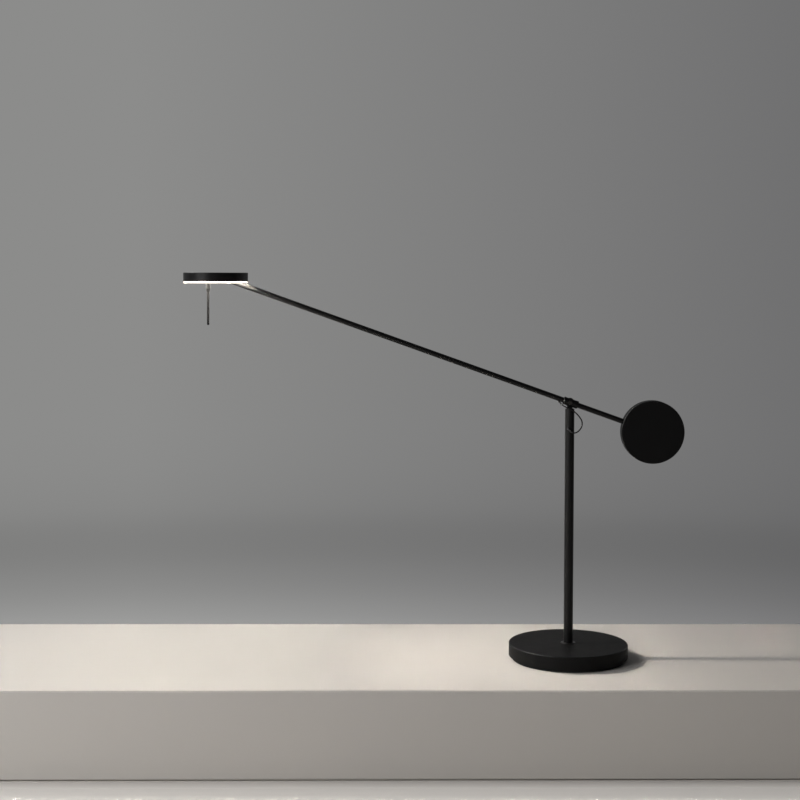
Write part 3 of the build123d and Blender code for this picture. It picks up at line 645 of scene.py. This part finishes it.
# ---------------------------------------------------------------- power inlet
# A round low-voltage socket in the back of the base: a satin moulded housing with a
# nickel pin in its middle and a nickel sleeve round the mouth.
JACK_AXIS = Vector((0.0, 0.0, 0.0145))
JACK_TURN = (math.pi / 2, 0.0, 0.0)
JACK_PIN_RADIUS = 0.0011
JACK_SLEEVE_RADIUS = 0.0029
JACK_SLEEVE_BAND = 0.0002
HOUSING_TONE = (0.016, 0.016, 0.016)
HOUSING_ROUGHNESS = 0.45
NICKEL_TONE = (0.62, 0.60, 0.55, 1.0)
NICKEL_ROUGHNESS = 0.22
SKIN_RELIEF = 0.18
SKIN_DEPTH = 0.00006


def moulded_skin(tree, place, tone, roughness):
    """Satin moulded plastic with a fine spark-eroded skin: what feeds its surface."""
    skin = noise(tree, place, 4200.0, detail=2.0)
    flow = noise(tree, place, 140.0)
    return {
        "Base_Color": brightened(tree, tone, scaled(tree, flow, 0.85, 1.15)),
        "Roughness": scaled(tree, flow, roughness * 0.88, roughness * 1.12),
        "Normal": bumped(tree, skin, SKIN_RELIEF, SKIN_DEPTH),
    }


def value_mix(tree, share, first, second):
    """The first value where share is 0, and the second where it is 1."""
    return wire(tree, "ShaderNodeMix", {0: share, 2: first, 3: second}).outputs[0]


inlet, tree, surface, place = new_material("inlet_plastic_and_nickel")
radius = axis_distance(tree, centred(tree, place, JACK_AXIS, JACK_TURN))
on_pin = math_node(tree, "LESS_THAN", radius, JACK_PIN_RADIUS)
on_sleeve = math_node(tree, "COMPARE", radius, JACK_SLEEVE_RADIUS, JACK_SLEEVE_BAND)
nickel = math_node(tree, "MAXIMUM", on_pin, on_sleeve)
skin = moulded_skin(tree, place, HOUSING_TONE, HOUSING_ROUGHNESS)
skin["Base_Color"] = colour_mix(tree, nickel, skin["Base_Color"], NICKEL_TONE)
skin["Roughness"] = value_mix(tree, nickel, skin["Roughness"], NICKEL_ROUGHNESS)
feed(tree, surface, **skin, Metallic=nickel)
dress(inlet, "power_jack")

# ---------------------------------------------------------------- pole and its head
# A drawn steel tube in the same powder coat as the base, a little finer in grain. The
# head is turned and milled: a roofed collar, and a flat tongue with a round eye.
TUBE_SPECULAR = 0.26
TUBE_GRAIN = 0.00038
TUBE_RELIEF = 0.05
POLE_ROUGHNESS = 0.36
tube_coat = coated("tube_powder_coat", POLE_ROUGHNESS, TUBE_SPECULAR, TUBE_GRAIN, TUBE_RELIEF)
dress(tube_coat, "pole_tube", "pole_head")

# ---------------------------------------------------------------- arm and hub
# One long tube from the head to the counterweight, in the tube coat. The hub is a
# turned sleeve round it, coated smoother, with a flat eye fitting at the arm's far end.
ARM_SLOPE = math.radians(19.54)
ALONG = Vector((-math.cos(ARM_SLOPE), 0.0, math.sin(ARM_SLOPE)))
BELOW = Vector((-math.sin(ARM_SLOPE), 0.0, -math.cos(ARM_SLOPE)))
ARM_TURN = (0.0, -math.pi / 2 + ARM_SLOPE, 0.0)
ARM_ROUGHNESS = 0.40
HUB_ROUGHNESS = 0.42
HUB_SPECULAR = 0.20
HUB_GRAIN = 0.0003
HUB_RELIEF = 0.06
CORE_ROUGHNESS = 0.36
FINE_SPACING = 0.0002
arm_coat = coated("arm_powder_coat", ARM_ROUGHNESS, TUBE_SPECULAR, TUBE_GRAIN, TUBE_RELIEF)
hub_coat = coated("hub_smooth_coat", HUB_ROUGHNESS, HUB_SPECULAR, HUB_GRAIN, HUB_RELIEF)
zinc_core = metal(
    "zinc_steel_core", ZINC_TONE, CORE_ROUGHNESS, turning_marks, FINE_SPACING, PIVOT, ARM_TURN
)
dress(arm_coat, "arm_tube", "tip_fitting")
dress(hub_coat, "arm_hub")
dress(zinc_core, "hub_core")

# ---------------------------------------------------------------- hub pin, head pin and washers
# Hard steel pins, blackened by oil, with flat turned heads. White nylon washers between
# tongue and hub let the arm rock smoothly, and thinner ones sit at the head.
OXIDE_TONE = (0.060, 0.058, 0.056)
OXIDE_ROUGHNESS = 0.38
PIN_TURN = (math.pi / 2, 0.0, 0.0)
HINGE = sum(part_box("head_pin"), Vector()) / 2
NYLON_TONE = (0.70, 0.685, 0.63)
NYLON_ROUGHNESS = 0.42
NYLON_DEPTHS = (0.0006, 0.0005, 0.0004)
for pin, centre in (("hub_pin", PIVOT), ("head_pin", HINGE)):
    name = pin + "_oxide"
    black = metal(name, OXIDE_TONE, OXIDE_ROUGHNESS, turning_marks, FINE_SPACING, centre, PIN_TURN)
    dress(black, pin)


def moulded(name, tone, roughness, **more):
    """A plain moulded plastic. More surface values may be given, named with _ for a space."""
    material, tree, surface, place = new_material(name)
    feed(tree, surface, **moulded_skin(tree, place, tone, roughness), **more)
    return material


nylon = moulded(
    "washer_nylon",
    NYLON_TONE,
    NYLON_ROUGHNESS,
    Subsurface_Weight=0.25,
    Subsurface_Radius=NYLON_DEPTHS,
)
dress(nylon, "hub_washers", "head_washers")

# ---------------------------------------------------------------- cable ports and inner wires
# Two small polished sleeves guide the cable out of the arm and into the pole. The wires
# inside the lamp have the same soft sheath as the loop.
PORT_TONE = (0.014, 0.014, 0.015)
PORT_ROUGHNESS = 0.20
dress(moulded("port_polished_black", PORT_TONE, PORT_ROUGHNESS), "pole_grommet", "arm_gland")
dress(sheath, "base_wire", "pole_wire", "arm_wire")

# ---------------------------------------------------------------- counterweight
# A solid turned steel disc on edge, in matt black. Its flat faces keep very faint rings
# from the lathe under the coat, and its rim is rubbed by the hand that sets the arm.
COUNTERWEIGHT_LOW, COUNTERWEIGHT_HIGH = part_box("counterweight")
COUNTERWEIGHT_CENTRE = (COUNTERWEIGHT_LOW + COUNTERWEIGHT_HIGH) / 2
COUNTERWEIGHT_RADIUS = (COUNTERWEIGHT_HIGH.x - COUNTERWEIGHT_LOW.x) / 2
COUNTERWEIGHT_ROUGHNESS = 0.50
COUNTERWEIGHT_SPECULAR = 0.15
COUNTERWEIGHT_SPACING = 0.0006
RING_RELIEF = 0.10
RING_DEPTH = 0.00008


def disc_coat(name, rub, roughness, gloss, spacing, dust=0.0):
    """Powder coat over a turned disc: rings show faintly through it, and its rim is rubbed."""
    material = coated(name, roughness, gloss, rub=rub, dust=dust)
    tree = material.node_tree
    surface = tree.nodes["Principled BSDF"]
    place = wire(tree, "ShaderNodeTexCoord").outputs["Object"]
    centre, _, turn = rub
    about = centred(tree, place, centre, turn)
    inputs = {
        "Height": group_node(tree, turning_marks, {"Vector": about, "Spacing": spacing})["Height"],
        "Strength": RING_RELIEF,
        "Distance": RING_DEPTH,
        "Normal": surface.inputs["Normal"].links[0].from_socket,
    }
    feed(tree, surface, Normal=wire(tree, "ShaderNodeBump", inputs).outputs["Normal"])
    return material


counterweight_coat = disc_coat(
    "counterweight_coat",
    (COUNTERWEIGHT_CENTRE, COUNTERWEIGHT_RADIUS, PIN_TURN),
    COUNTERWEIGHT_ROUGHNESS,
    COUNTERWEIGHT_SPECULAR,
    COUNTERWEIGHT_SPACING,
)
dress(counterweight_coat, "counterweight")

# ---------------------------------------------------------------- head shell
# Spun aluminium, as thin as a lid, in the same matt black. The spinning tool's rings
# show faintly on its top, where some dust has settled.
HEAD_LOW, HEAD_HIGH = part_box("head_shell")
HEAD_CENTRE = Vector(((HEAD_LOW.x + HEAD_HIGH.x) / 2, 0.0, HEAD_LOW.z))
HEAD_RADIUS = (HEAD_HIGH.x - HEAD_LOW.x) / 2
SHELL_ROUGHNESS = 0.40
SHELL_SPECULAR = 0.24
SHELL_SPACING = 0.0009
SHELL_DUST = 0.03
shell_coat = disc_coat(
    "head_shell_coat",
    (HEAD_CENTRE, HEAD_RADIUS, UPRIGHT),
    SHELL_ROUGHNESS,
    SHELL_SPECULAR,
    SHELL_SPACING,
    SHELL_DUST,
)
dress(shell_coat, "head_shell")

# ---------------------------------------------------------------- bracket, heat sink and nut
# A folded zinc-plated bracket holds the hinge, a rolled aluminium disc takes the heat of
# the light board, and a hexagon nut clamps the handle's stud.
SHEET_TURN = (0.0, math.pi / 2, 0.0)
SHEET_ROUGHNESS = 0.33
SHEET_SPACING = 0.00025
ALUMINIUM_TONE = (0.78, 0.78, 0.79)
ALUMINIUM_ROUGHNESS = 0.30
zinc_sheet = metal(
    "zinc_steel_sheet", ZINC_TONE, SHEET_ROUGHNESS, drawn_grain, SHEET_SPACING, HINGE, SHEET_TURN
)
rolled = metal(
    "rolled_aluminium",
    ALUMINIUM_TONE,
    ALUMINIUM_ROUGHNESS,
    drawn_grain,
    FINE_SPACING,
    HEAD_CENTRE,
    SHEET_TURN,
)
dress(zinc_sheet, "hinge_bracket", "handle_nut")
dress(rolled, "heat_sink")

# ---------------------------------------------------------------- light board
# A ring of glass-fibre board under white solder mask. Two raised copper rings feed the
# diodes, and show as thin steps in the mask.
TRACK_RADII = (0.0325, 0.0375)
TRACK_HALF_WIDTH = 0.0008
TRACK_DEPTH = 0.00005
MASK_TONE = (0.80, 0.81, 0.79)
board, tree, surface, place = new_material("board_white_mask")
radius = axis_distance(tree, centred(tree, place, HEAD_CENTRE))
inner, outer = [
    math_node(tree, "COMPARE", radius, track, TRACK_HALF_WIDTH) for track in TRACK_RADII
]
tracks = math_node(tree, "MAXIMUM", inner, outer)
weave = noise(tree, place, 2500.0, detail=1.0)
feed(
    tree,
    surface,
    Base_Color=brightened(tree, MASK_TONE, scaled(tree, tracks, 1.0, 0.93)),
    Roughness=scaled(tree, weave, 0.28, 0.42),
    Normal=bumped(tree, tracks, 0.6, TRACK_DEPTH),
)
dress(board, "led_board")

# ---------------------------------------------------------------- diodes
# Twenty-three square diodes stand in a ring on the board, with a gap where the arm
# passes. Each is a white ceramic body with a low yellow dome of phosphor.
DIODE_COUNT = 23
DIODE_STEP = math.radians(15.0)
DIODE_RING_RADIUS = 0.035
DIODE_SIZE = 0.0028
DIODE_BODY_HEIGHT = 0.0005
DOME_RADIUS = 0.0011
DOME_RISE = 0.0003
DOME_SIDES = 16
DOME_TIP_SHARE = 0.55
CERAMIC_TONE = (0.72, 0.71, 0.68)
CERAMIC_ROUGHNESS = 0.5
PHOSPHOR_TONE = (0.85, 0.62, 0.12)
PHOSPHOR_ROUGHNESS = 0.18
PHOSPHOR_GLOW = (1.0, 0.86, 0.62, 1.0)
ceramic = moulded("diode_ceramic", CERAMIC_TONE, CERAMIC_ROUGHNESS)
phosphor = moulded(
    "diode_phosphor",
    PHOSPHOR_TONE,
    PHOSPHOR_ROUGHNESS,
    Emission_Color=PHOSPHOR_GLOW,
    Emission_Strength=1.0,
)


def geometry_tree(name, inputs):
    """A Geometry Nodes tree with named size inputs: the tree and its group input's sockets."""
    tree = bpy.data.node_groups.new(name, "GeometryNodeTree")
    tree.interface.new_socket("Geometry", in_out="INPUT", socket_type="NodeSocketGeometry")
    for label, kind in inputs:
        tree.interface.new_socket(label, in_out="INPUT", socket_type=kind)
    tree.interface.new_socket("Geometry", in_out="OUTPUT", socket_type="NodeSocketGeometry")
    return tree, tree.nodes.new("NodeGroupInput").outputs


def cone(tree, sides, bottom, top, depth):
    """A cone or cylinder that stands on Z = 0."""
    inputs = {"Vertices": sides, "Radius Bottom": bottom, "Radius Top": top, "Depth": depth}
    return wire(tree, "GeometryNodeMeshCone", inputs).outputs["Mesh"]


def lowered(tree, mesh, depth, turn=UPRIGHT):
    """A mesh turned about the origin, and then moved down by a depth."""
    drop = wire(tree, "ShaderNodeCombineXYZ", {"Z": product(tree, depth, -1.0)}).outputs[0]
    inputs = {"Geometry": mesh, "Translation": drop, "Rotation": turn}
    return wire(tree, "GeometryNodeTransform", inputs).outputs[0]


def finished(tree, mesh, material, chosen=True):
    """A mesh whose chosen faces have the material."""
    inputs = {"Geometry": mesh, "Material": material, "Selection": chosen}
    return wire(tree, "GeometryNodeSetMaterial", inputs).outputs[0]


def grow(name, tree, values, points=(Vector(),)):
    """The plain mesh that a tree makes from points: each input is set by its identifier."""
    seed_mesh = bpy.data.meshes.new(name + "_points")
    seed_mesh.from_pydata([tuple(point) for point in points], [], [])
    seed = in_scene(name + "_points", seed_mesh)
    modifier = seed.modifiers.new("shape", "NODES")
    modifier.node_group = tree
    for socket in tree.interface.items_tree:
        if socket.in_out == "INPUT" and socket.name in values:
            modifier[socket.identifier] = values[socket.name]
    bpy.context.view_layer.update()
    grown = seed.evaluated_get(bpy.context.evaluated_depsgraph_get())
    mesh = bpy.data.meshes.new_from_object(grown)
    mesh.name = name
    seed.modifiers.clear()
    bpy.data.objects.remove(seed)
    return in_scene(name, mesh)


diode_ring, sizes = geometry_tree(
    "diode_ring",
    [
        ("Count", "NodeSocketInt"),
        ("Step", "NodeSocketFloat"),
        ("Ring Radius", "NodeSocketFloat"),
        ("Centre", "NodeSocketVector"),
        ("Body Size", "NodeSocketVector"),
        ("Dome Radius", "NodeSocketFloat"),
        ("Dome Rise", "NodeSocketFloat"),
        ("Ceramic", "NodeSocketMaterial"),
        ("Phosphor", "NodeSocketMaterial"),
    ],
)
spots = wire(diode_ring, "GeometryNodePoints", {"Count": sizes["Count"]}).outputs[0]
number = wire(diode_ring, "GeometryNodeInputIndex").outputs[0]
angle = product(diode_ring, math_node(diode_ring, "ADD", number, 1.0), sizes["Step"])
ring_x = product(diode_ring, math_node(diode_ring, "COSINE", angle), sizes["Ring Radius"])
ring_y = product(diode_ring, math_node(diode_ring, "SINE", angle), sizes["Ring Radius"])
on_ring = wire(diode_ring, "ShaderNodeCombineXYZ", {"X": ring_x, "Y": ring_y}).outputs[0]
ring_place = wire(
    diode_ring, "ShaderNodeVectorMath", {0: on_ring, 1: sizes["Centre"]}, operation="ADD"
)
inputs = {"Geometry": spots, "Position": ring_place.outputs[0]}
placed = wire(diode_ring, "GeometryNodeSetPosition", inputs).outputs[0]
high = wire(diode_ring, "ShaderNodeSeparateXYZ", {"Vector": sizes["Body Size"]}).outputs["Z"]
body = wire(diode_ring, "GeometryNodeMeshCube", {"Size": sizes["Body Size"]}).outputs["Mesh"]
body = lowered(diode_ring, body, product(diode_ring, high, 0.5))
# The bodies are marked, to tell them from the domes once all diodes are real
marked = wire(diode_ring, "GeometryNodeCaptureAttribute", domain="FACE")
marked.capture_items.new("BOOLEAN", "On Body")
connect(diode_ring, marked.inputs["Geometry"], body)
connect(diode_ring, marked.inputs["On Body"], True)
tip = product(diode_ring, sizes["Dome Radius"], DOME_TIP_SHARE)
dome = cone(diode_ring, DOME_SIDES, sizes["Dome Radius"], tip, sizes["Dome Rise"])
dome = lowered(diode_ring, dome, high, turn=(math.pi, 0.0, 0.0))
diode = wire(diode_ring, "GeometryNodeJoinGeometry")
diode_ring.links.new(marked.outputs["Geometry"], diode.inputs[0])
diode_ring.links.new(dome, diode.inputs[0])
turn = wire(diode_ring, "ShaderNodeCombineXYZ", {"Z": angle}).outputs[0]
inputs = {"Points": placed, "Instance": diode.outputs[0], "Rotation": turn}
diodes_set = wire(diode_ring, "GeometryNodeInstanceOnPoints", inputs).outputs[0]
real = wire(diode_ring, "GeometryNodeRealizeInstances", {"Geometry": diodes_set}).outputs[0]
real = finished(diode_ring, real, sizes["Phosphor"])
real = finished(diode_ring, real, sizes["Ceramic"], marked.outputs["On Body"])
diode_ring.links.new(real, diode_ring.nodes.new("NodeGroupOutput").inputs["Geometry"])

diodes = grow(
    "diodes",
    diode_ring,
    {
        "Count": DIODE_COUNT,
        "Step": DIODE_STEP,
        "Ring Radius": DIODE_RING_RADIUS,
        "Centre": (HEAD_CENTRE.x, 0.0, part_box("led_chips")[1].z),
        "Body Size": (DIODE_SIZE, DIODE_SIZE, DIODE_BODY_HEIGHT),
        "Dome Radius": DOME_RADIUS,
        "Dome Rise": DOME_RISE,
        "Ceramic": ceramic,
        "Phosphor": phosphor,
    },
)
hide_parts("led_chips")
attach(diodes, "head")

# ---------------------------------------------------------------- screws
# Hexagon-socket screws, turned and rolled. Those of the base plate and the head are zinc
# plated, and those of the hub and the counterweight are blackened, one of them headless.
SCREW_SIDES = 40
SOCKET_SIDES = 6
SCREW_CREASE = math.radians(30.0)
SCREW_SPACING = 0.00015
ZINC_SCREW_ROUGHNESS = 0.30
OXIDE_SCREW_ROUGHNESS = 0.36
PLATE_SCREW_RING = 0.079
SINK_SCREW_RING = 0.026
BRACKET_SCREW_ALONG = 0.006
BRACKET_SCREW_ASIDE = 0.007
COUNTERWEIGHT_SCREW_REACH = 0.1071
COUNTERWEIGHT_SCREW_ASIDE = 0.0085
HUB_RADIUS = 0.006
SET_SCREW_REACH = 0.0106
SET_SCREW_BELOW = 0.0058
DOWN = (math.pi, 0.0, 0.0)
BACK = (-math.pi / 2, 0.0, 0.0)
UNDER_ARM = (0.0, math.pi + ARM_SLOPE, 0.0)
SCREW_SIZE_NAMES = (
    "Head Radius",
    "Seat Radius",
    "Head Height",
    "Rim Chamfer",
    "Shank Radius",
    "Length",
    "Socket Radius",
    "Socket Depth",
)


def solid(tree, operation, first, *others):
    """The exact union of meshes, or the difference of the first and the others."""
    made = wire(tree, "GeometryNodeMeshBoolean", operation=operation, solver="EXACT")
    tree.links.new(first, made.inputs["Mesh 1" if operation == "DIFFERENCE" else "Mesh 2"])
    for mesh in others:
        tree.links.new(mesh, made.inputs["Mesh 2"])
    return made.outputs["Mesh"]


screw_tree, sizes = geometry_tree(
    "socket_screws",
    [
        ("Turn", "NodeSocketVector"),
        *[(label, "NodeSocketFloat") for label in SCREW_SIZE_NAMES],
        ("Finish", "NodeSocketMaterial"),
    ],
)
seat, rim, chamfer = sizes["Seat Radius"], sizes["Head Radius"], sizes["Rim Chamfer"]
head_depth = math_node(screw_tree, "SUBTRACT", sizes["Head Height"], chamfer)
face_radius = math_node(screw_tree, "SUBTRACT", rim, chamfer)
shank_depth = math_node(screw_tree, "SUBTRACT", sizes["Length"], chamfer)
hole_depth = product(screw_tree, sizes["Socket Depth"], 2.0)
head_body = cone(screw_tree, SCREW_SIDES, seat, rim, head_depth)
head_face = cone(screw_tree, SCREW_SIDES, rim, face_radius, chamfer)
shank = cone(screw_tree, SCREW_SIDES, sizes["Shank Radius"], sizes["Shank Radius"], shank_depth)
hole = cone(screw_tree, SOCKET_SIDES, sizes["Socket Radius"], sizes["Socket Radius"], hole_depth)
blank = solid(
    screw_tree,
    "UNION",
    lowered(screw_tree, head_body, sizes["Head Height"]),
    lowered(screw_tree, head_face, chamfer),
    lowered(screw_tree, shank, sizes["Length"]),
)
screw = solid(screw_tree, "DIFFERENCE", blank, lowered(screw_tree, hole, sizes["Socket Depth"]))
spots = wire(screw_tree, "GeometryNodeMeshToPoints", {"Mesh": sizes["Geometry"]}).outputs[0]
inputs = {"Points": spots, "Instance": screw, "Rotation": sizes["Turn"]}
screws_set = wire(screw_tree, "GeometryNodeInstanceOnPoints", inputs).outputs[0]
real = wire(screw_tree, "GeometryNodeRealizeInstances", {"Geometry": screws_set}).outputs[0]
real = finished(screw_tree, real, sizes["Finish"])
screw_tree.links.new(real, screw_tree.nodes.new("NodeGroupOutput").inputs["Geometry"])


def ring_spots(node, centre, radius, angles):
    """Places on a level ring about centre, at the node's underside, at angles in degrees."""
    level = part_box(node)[0].z
    turns = [math.radians(angle) for angle in angles]
    return [
        Vector((centre.x + radius * math.cos(turn), centre.y + radius * math.sin(turn), level))
        for turn in turns
    ]


plate_spots = ring_spots("base_plate", Vector(), PLATE_SCREW_RING, (45, 135, 225, 315))
sink_spots = ring_spots("sink_screws", HEAD_CENTRE, SINK_SCREW_RING, (60, 180, 300))
bracket_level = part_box("bracket_screws")[0].z
bracket_spots = [
    Vector((HINGE.x + along, aside, bracket_level))
    for along in (-BRACKET_SCREW_ALONG, BRACKET_SCREW_ALONG)
    for aside in (-BRACKET_SCREW_ASIDE, BRACKET_SCREW_ASIDE)
]
pin_spot = PIVOT + Vector((0.0, HUB_RADIUS, 0.0))
weight_spot = PIVOT - ALONG * COUNTERWEIGHT_SCREW_REACH
weight_spot += Vector((0.0, COUNTERWEIGHT_SCREW_ASIDE, 0.0))
set_spot = PIVOT - ALONG * SET_SCREW_REACH + BELOW * SET_SCREW_BELOW
zinc = metal("zinc_screw", ZINC_TONE, ZINC_SCREW_ROUGHNESS, drawn_grain, SCREW_SPACING)
oxide = metal("oxide_screw", OXIDE_TONE, OXIDE_SCREW_ROUGHNESS, drawn_grain, SCREW_SPACING)
# Each set's sizes in millimetres, in the order of SCREW_SIZE_NAMES
PLATE_SIZES = (3.8, 2.0, 1.8, 0.1, 2.0, 12.0, 1.44, 1.4)
SINK_SIZES = (1.9, 1.9, 1.2, 0.2, 1.0, 6.1, 0.87, 0.8)
BRACKET_SIZES = (1.9, 1.9, 1.2, 0.2, 1.0, 3.6, 0.87, 0.8)
PIN_SIZES = (3.2, 3.2, 1.0, 0.3, 1.2, 7.0, 1.15, 0.8)
WEIGHT_SIZES = (2.5, 2.5, 1.0, 0.4, 2.5, 4.4, 1.44, 1.8)
SET_SIZES = (1.5, 1.5, 0.5, 0.2, 1.5, 1.7, 0.87, 0.9)
# Node, body, record slot, finish, turn, places and sizes
SCREW_SETS = (
    ("base_plate_screws", "base", "plain_steel", zinc, DOWN, plate_spots, PLATE_SIZES),
    ("sink_screws", "head", "plain_steel", zinc, DOWN, sink_spots, SINK_SIZES),
    ("bracket_screws", "head", "plain_steel", zinc, DOWN, bracket_spots, BRACKET_SIZES),
    ("hub_pin_screw", "arm", "black_steel", oxide, BACK, [pin_spot], PIN_SIZES),
    ("counterweight_screw", "arm", "plain_steel", oxide, BACK, [weight_spot], WEIGHT_SIZES),
    ("hub_set_screw", "arm", "plain_steel", oxide, UNDER_ARM, [set_spot], SET_SIZES),
)
for node, body, slot, finish, turn, spots, millimetres in SCREW_SETS:
    values = {name: size / 1000 for name, size in zip(SCREW_SIZE_NAMES, millimetres)}
    made = grow(node + "_cut", screw_tree, {"Turn": turn, "Finish": finish, **values}, spots)
    for face in made.data.polygons:
        face.use_smooth = True
    made.data.set_sharp_from_angle(angle=SCREW_CREASE)
    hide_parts(node)
    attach(made, body)

# ---------------------------------------------------------------- slot liner
# A thin moulded wall that closes the light box round the arm's slot. It is satin black,
# so that it hides in the shell's shadow.
LINER_TONE = (0.02, 0.02, 0.02)
LINER_ROUGHNESS = 0.45
dress(moulded("slot_liner_plastic", LINER_TONE, LINER_ROUGHNESS), "slot_liner")

# ---------------------------------------------------------------- diffuser
# A moulded dish of opal acrylic that glows a warm white, brightest under the ring of
# diodes. Its narrow lip is all that shows from the side. The camera sees a milder glow
# than the one that the dish casts.
OPAL_TONE = (0.62, 0.60, 0.56)
GLOW_COLOUR = (1.0, 0.93, 0.82, 1.0)
GLOW_SEEN = (0.66, 0.90)
GLOW_SEEN_WALL = 1.35
GLOW_MIDDLE = 16.0
GLOW_RING = 95.0
GLOW_WALL = 1300.0
DARK_RADIUS, BRIGHT_RADIUS = 0.016, 0.032
WALL_RADIUS = 0.0479
opal, tree, surface, place = new_material("opal_diffuser_lit")
radius = axis_distance(tree, centred(tree, place, HEAD_CENTRE))
to_ring = scaled(tree, radius, 0.0, 1.0, DARK_RADIUS, BRIGHT_RADIUS, smooth=True)
on_wall = math_node(tree, "GREATER_THAN", radius, WALL_RADIUS)
cast = value_mix(tree, on_wall, scaled(tree, to_ring, GLOW_MIDDLE, GLOW_RING), GLOW_WALL)
seen = value_mix(tree, on_wall, scaled(tree, to_ring, *GLOW_SEEN), GLOW_SEEN_WALL)
camera_ray = wire(tree, "ShaderNodeLightPath").outputs["Is Camera Ray"]
haze = noise(tree, place, 400.0, detail=2.0)
feed(
    tree,
    surface,
    Base_Color=brightened(tree, OPAL_TONE, scaled(tree, haze, 0.97, 1.03)),
    Roughness=scaled(tree, haze, 0.38, 0.48),
    Emission_Color=GLOW_COLOUR,
    Emission_Strength=value_mix(tree, camera_ray, cast, seen),
)
dress(opal, "diffuser")

# The diffuser's beam towards the base, which moves with the head
BEAM_POWER = 9.5
BEAM_DROP = Vector((0.0, 0.0, -0.02))
BEAM_AIM = Vector((0.22, 0.0, 0.0))
BEAM_WIDTH = math.radians(80.0)
BEAM_SOFT_SIZE = 0.014
beam_data = bpy.data.lights.new("head_beam", "SPOT")
beam_data.energy = BEAM_POWER
beam_data.color = GLOW_COLOUR[:3]
beam_data.spot_size = BEAM_WIDTH
beam_data.spot_blend = 1.0
beam_data.shadow_soft_size = BEAM_SOFT_SIZE
beam = in_scene("head_beam", beam_data)
beam.location = HEAD_CENTRE + BEAM_DROP
beam.rotation_euler = (BEAM_AIM - beam.location).to_track_quat("-Z", "Y").to_euler()
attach(beam, "head")

# ---------------------------------------------------------------- stick handle
# A turned ferrule holds a thin drawn rod, both blackened. The rod is brushed lengthwise.
FERRULE_LOW, FERRULE_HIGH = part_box("handle_ferrule")
HANDLE_AXIS = Vector(((FERRULE_LOW.x + FERRULE_HIGH.x) / 2, 0.0, 0.0))
FERRULE_TONE = (0.0035, 0.0035, 0.0037)
FERRULE_ROUGHNESS = 0.5
FERRULE_SPECULAR = 0.12
FERRULE_SPACING = 0.0004
ROD_TONE = (0.0032, 0.0032, 0.0034)
ROD_SPECULAR = 0.16
ROD_SPACING = 0.00012
ROD_RELIEF = 0.01
ROD_DEPTH = 0.00001
ferrule_black = turned_black(
    "ferrule_turned_black",
    HANDLE_AXIS,
    FERRULE_TONE,
    FERRULE_ROUGHNESS,
    FERRULE_SPECULAR,
    FERRULE_SPACING,
)
dress(ferrule_black, "handle_ferrule")

rod_black, tree, surface, place = new_material("rod_brushed_black")
about = centred(tree, place, HANDLE_AXIS)
grain = group_node(tree, drawn_grain, {"Vector": about, "Spacing": ROD_SPACING})["Height"]
feed(
    tree,
    surface,
    Base_Color=brightened(tree, ROD_TONE, scaled(tree, grain, 0.8, 1.2)),
    Roughness=scaled(tree, grain, 0.36, 0.46),
    Normal=bumped(tree, grain, ROD_RELIEF, ROD_DEPTH),
    Specular_IOR_Level=ROD_SPECULAR,
)
dress(rod_black, "handle_rod")
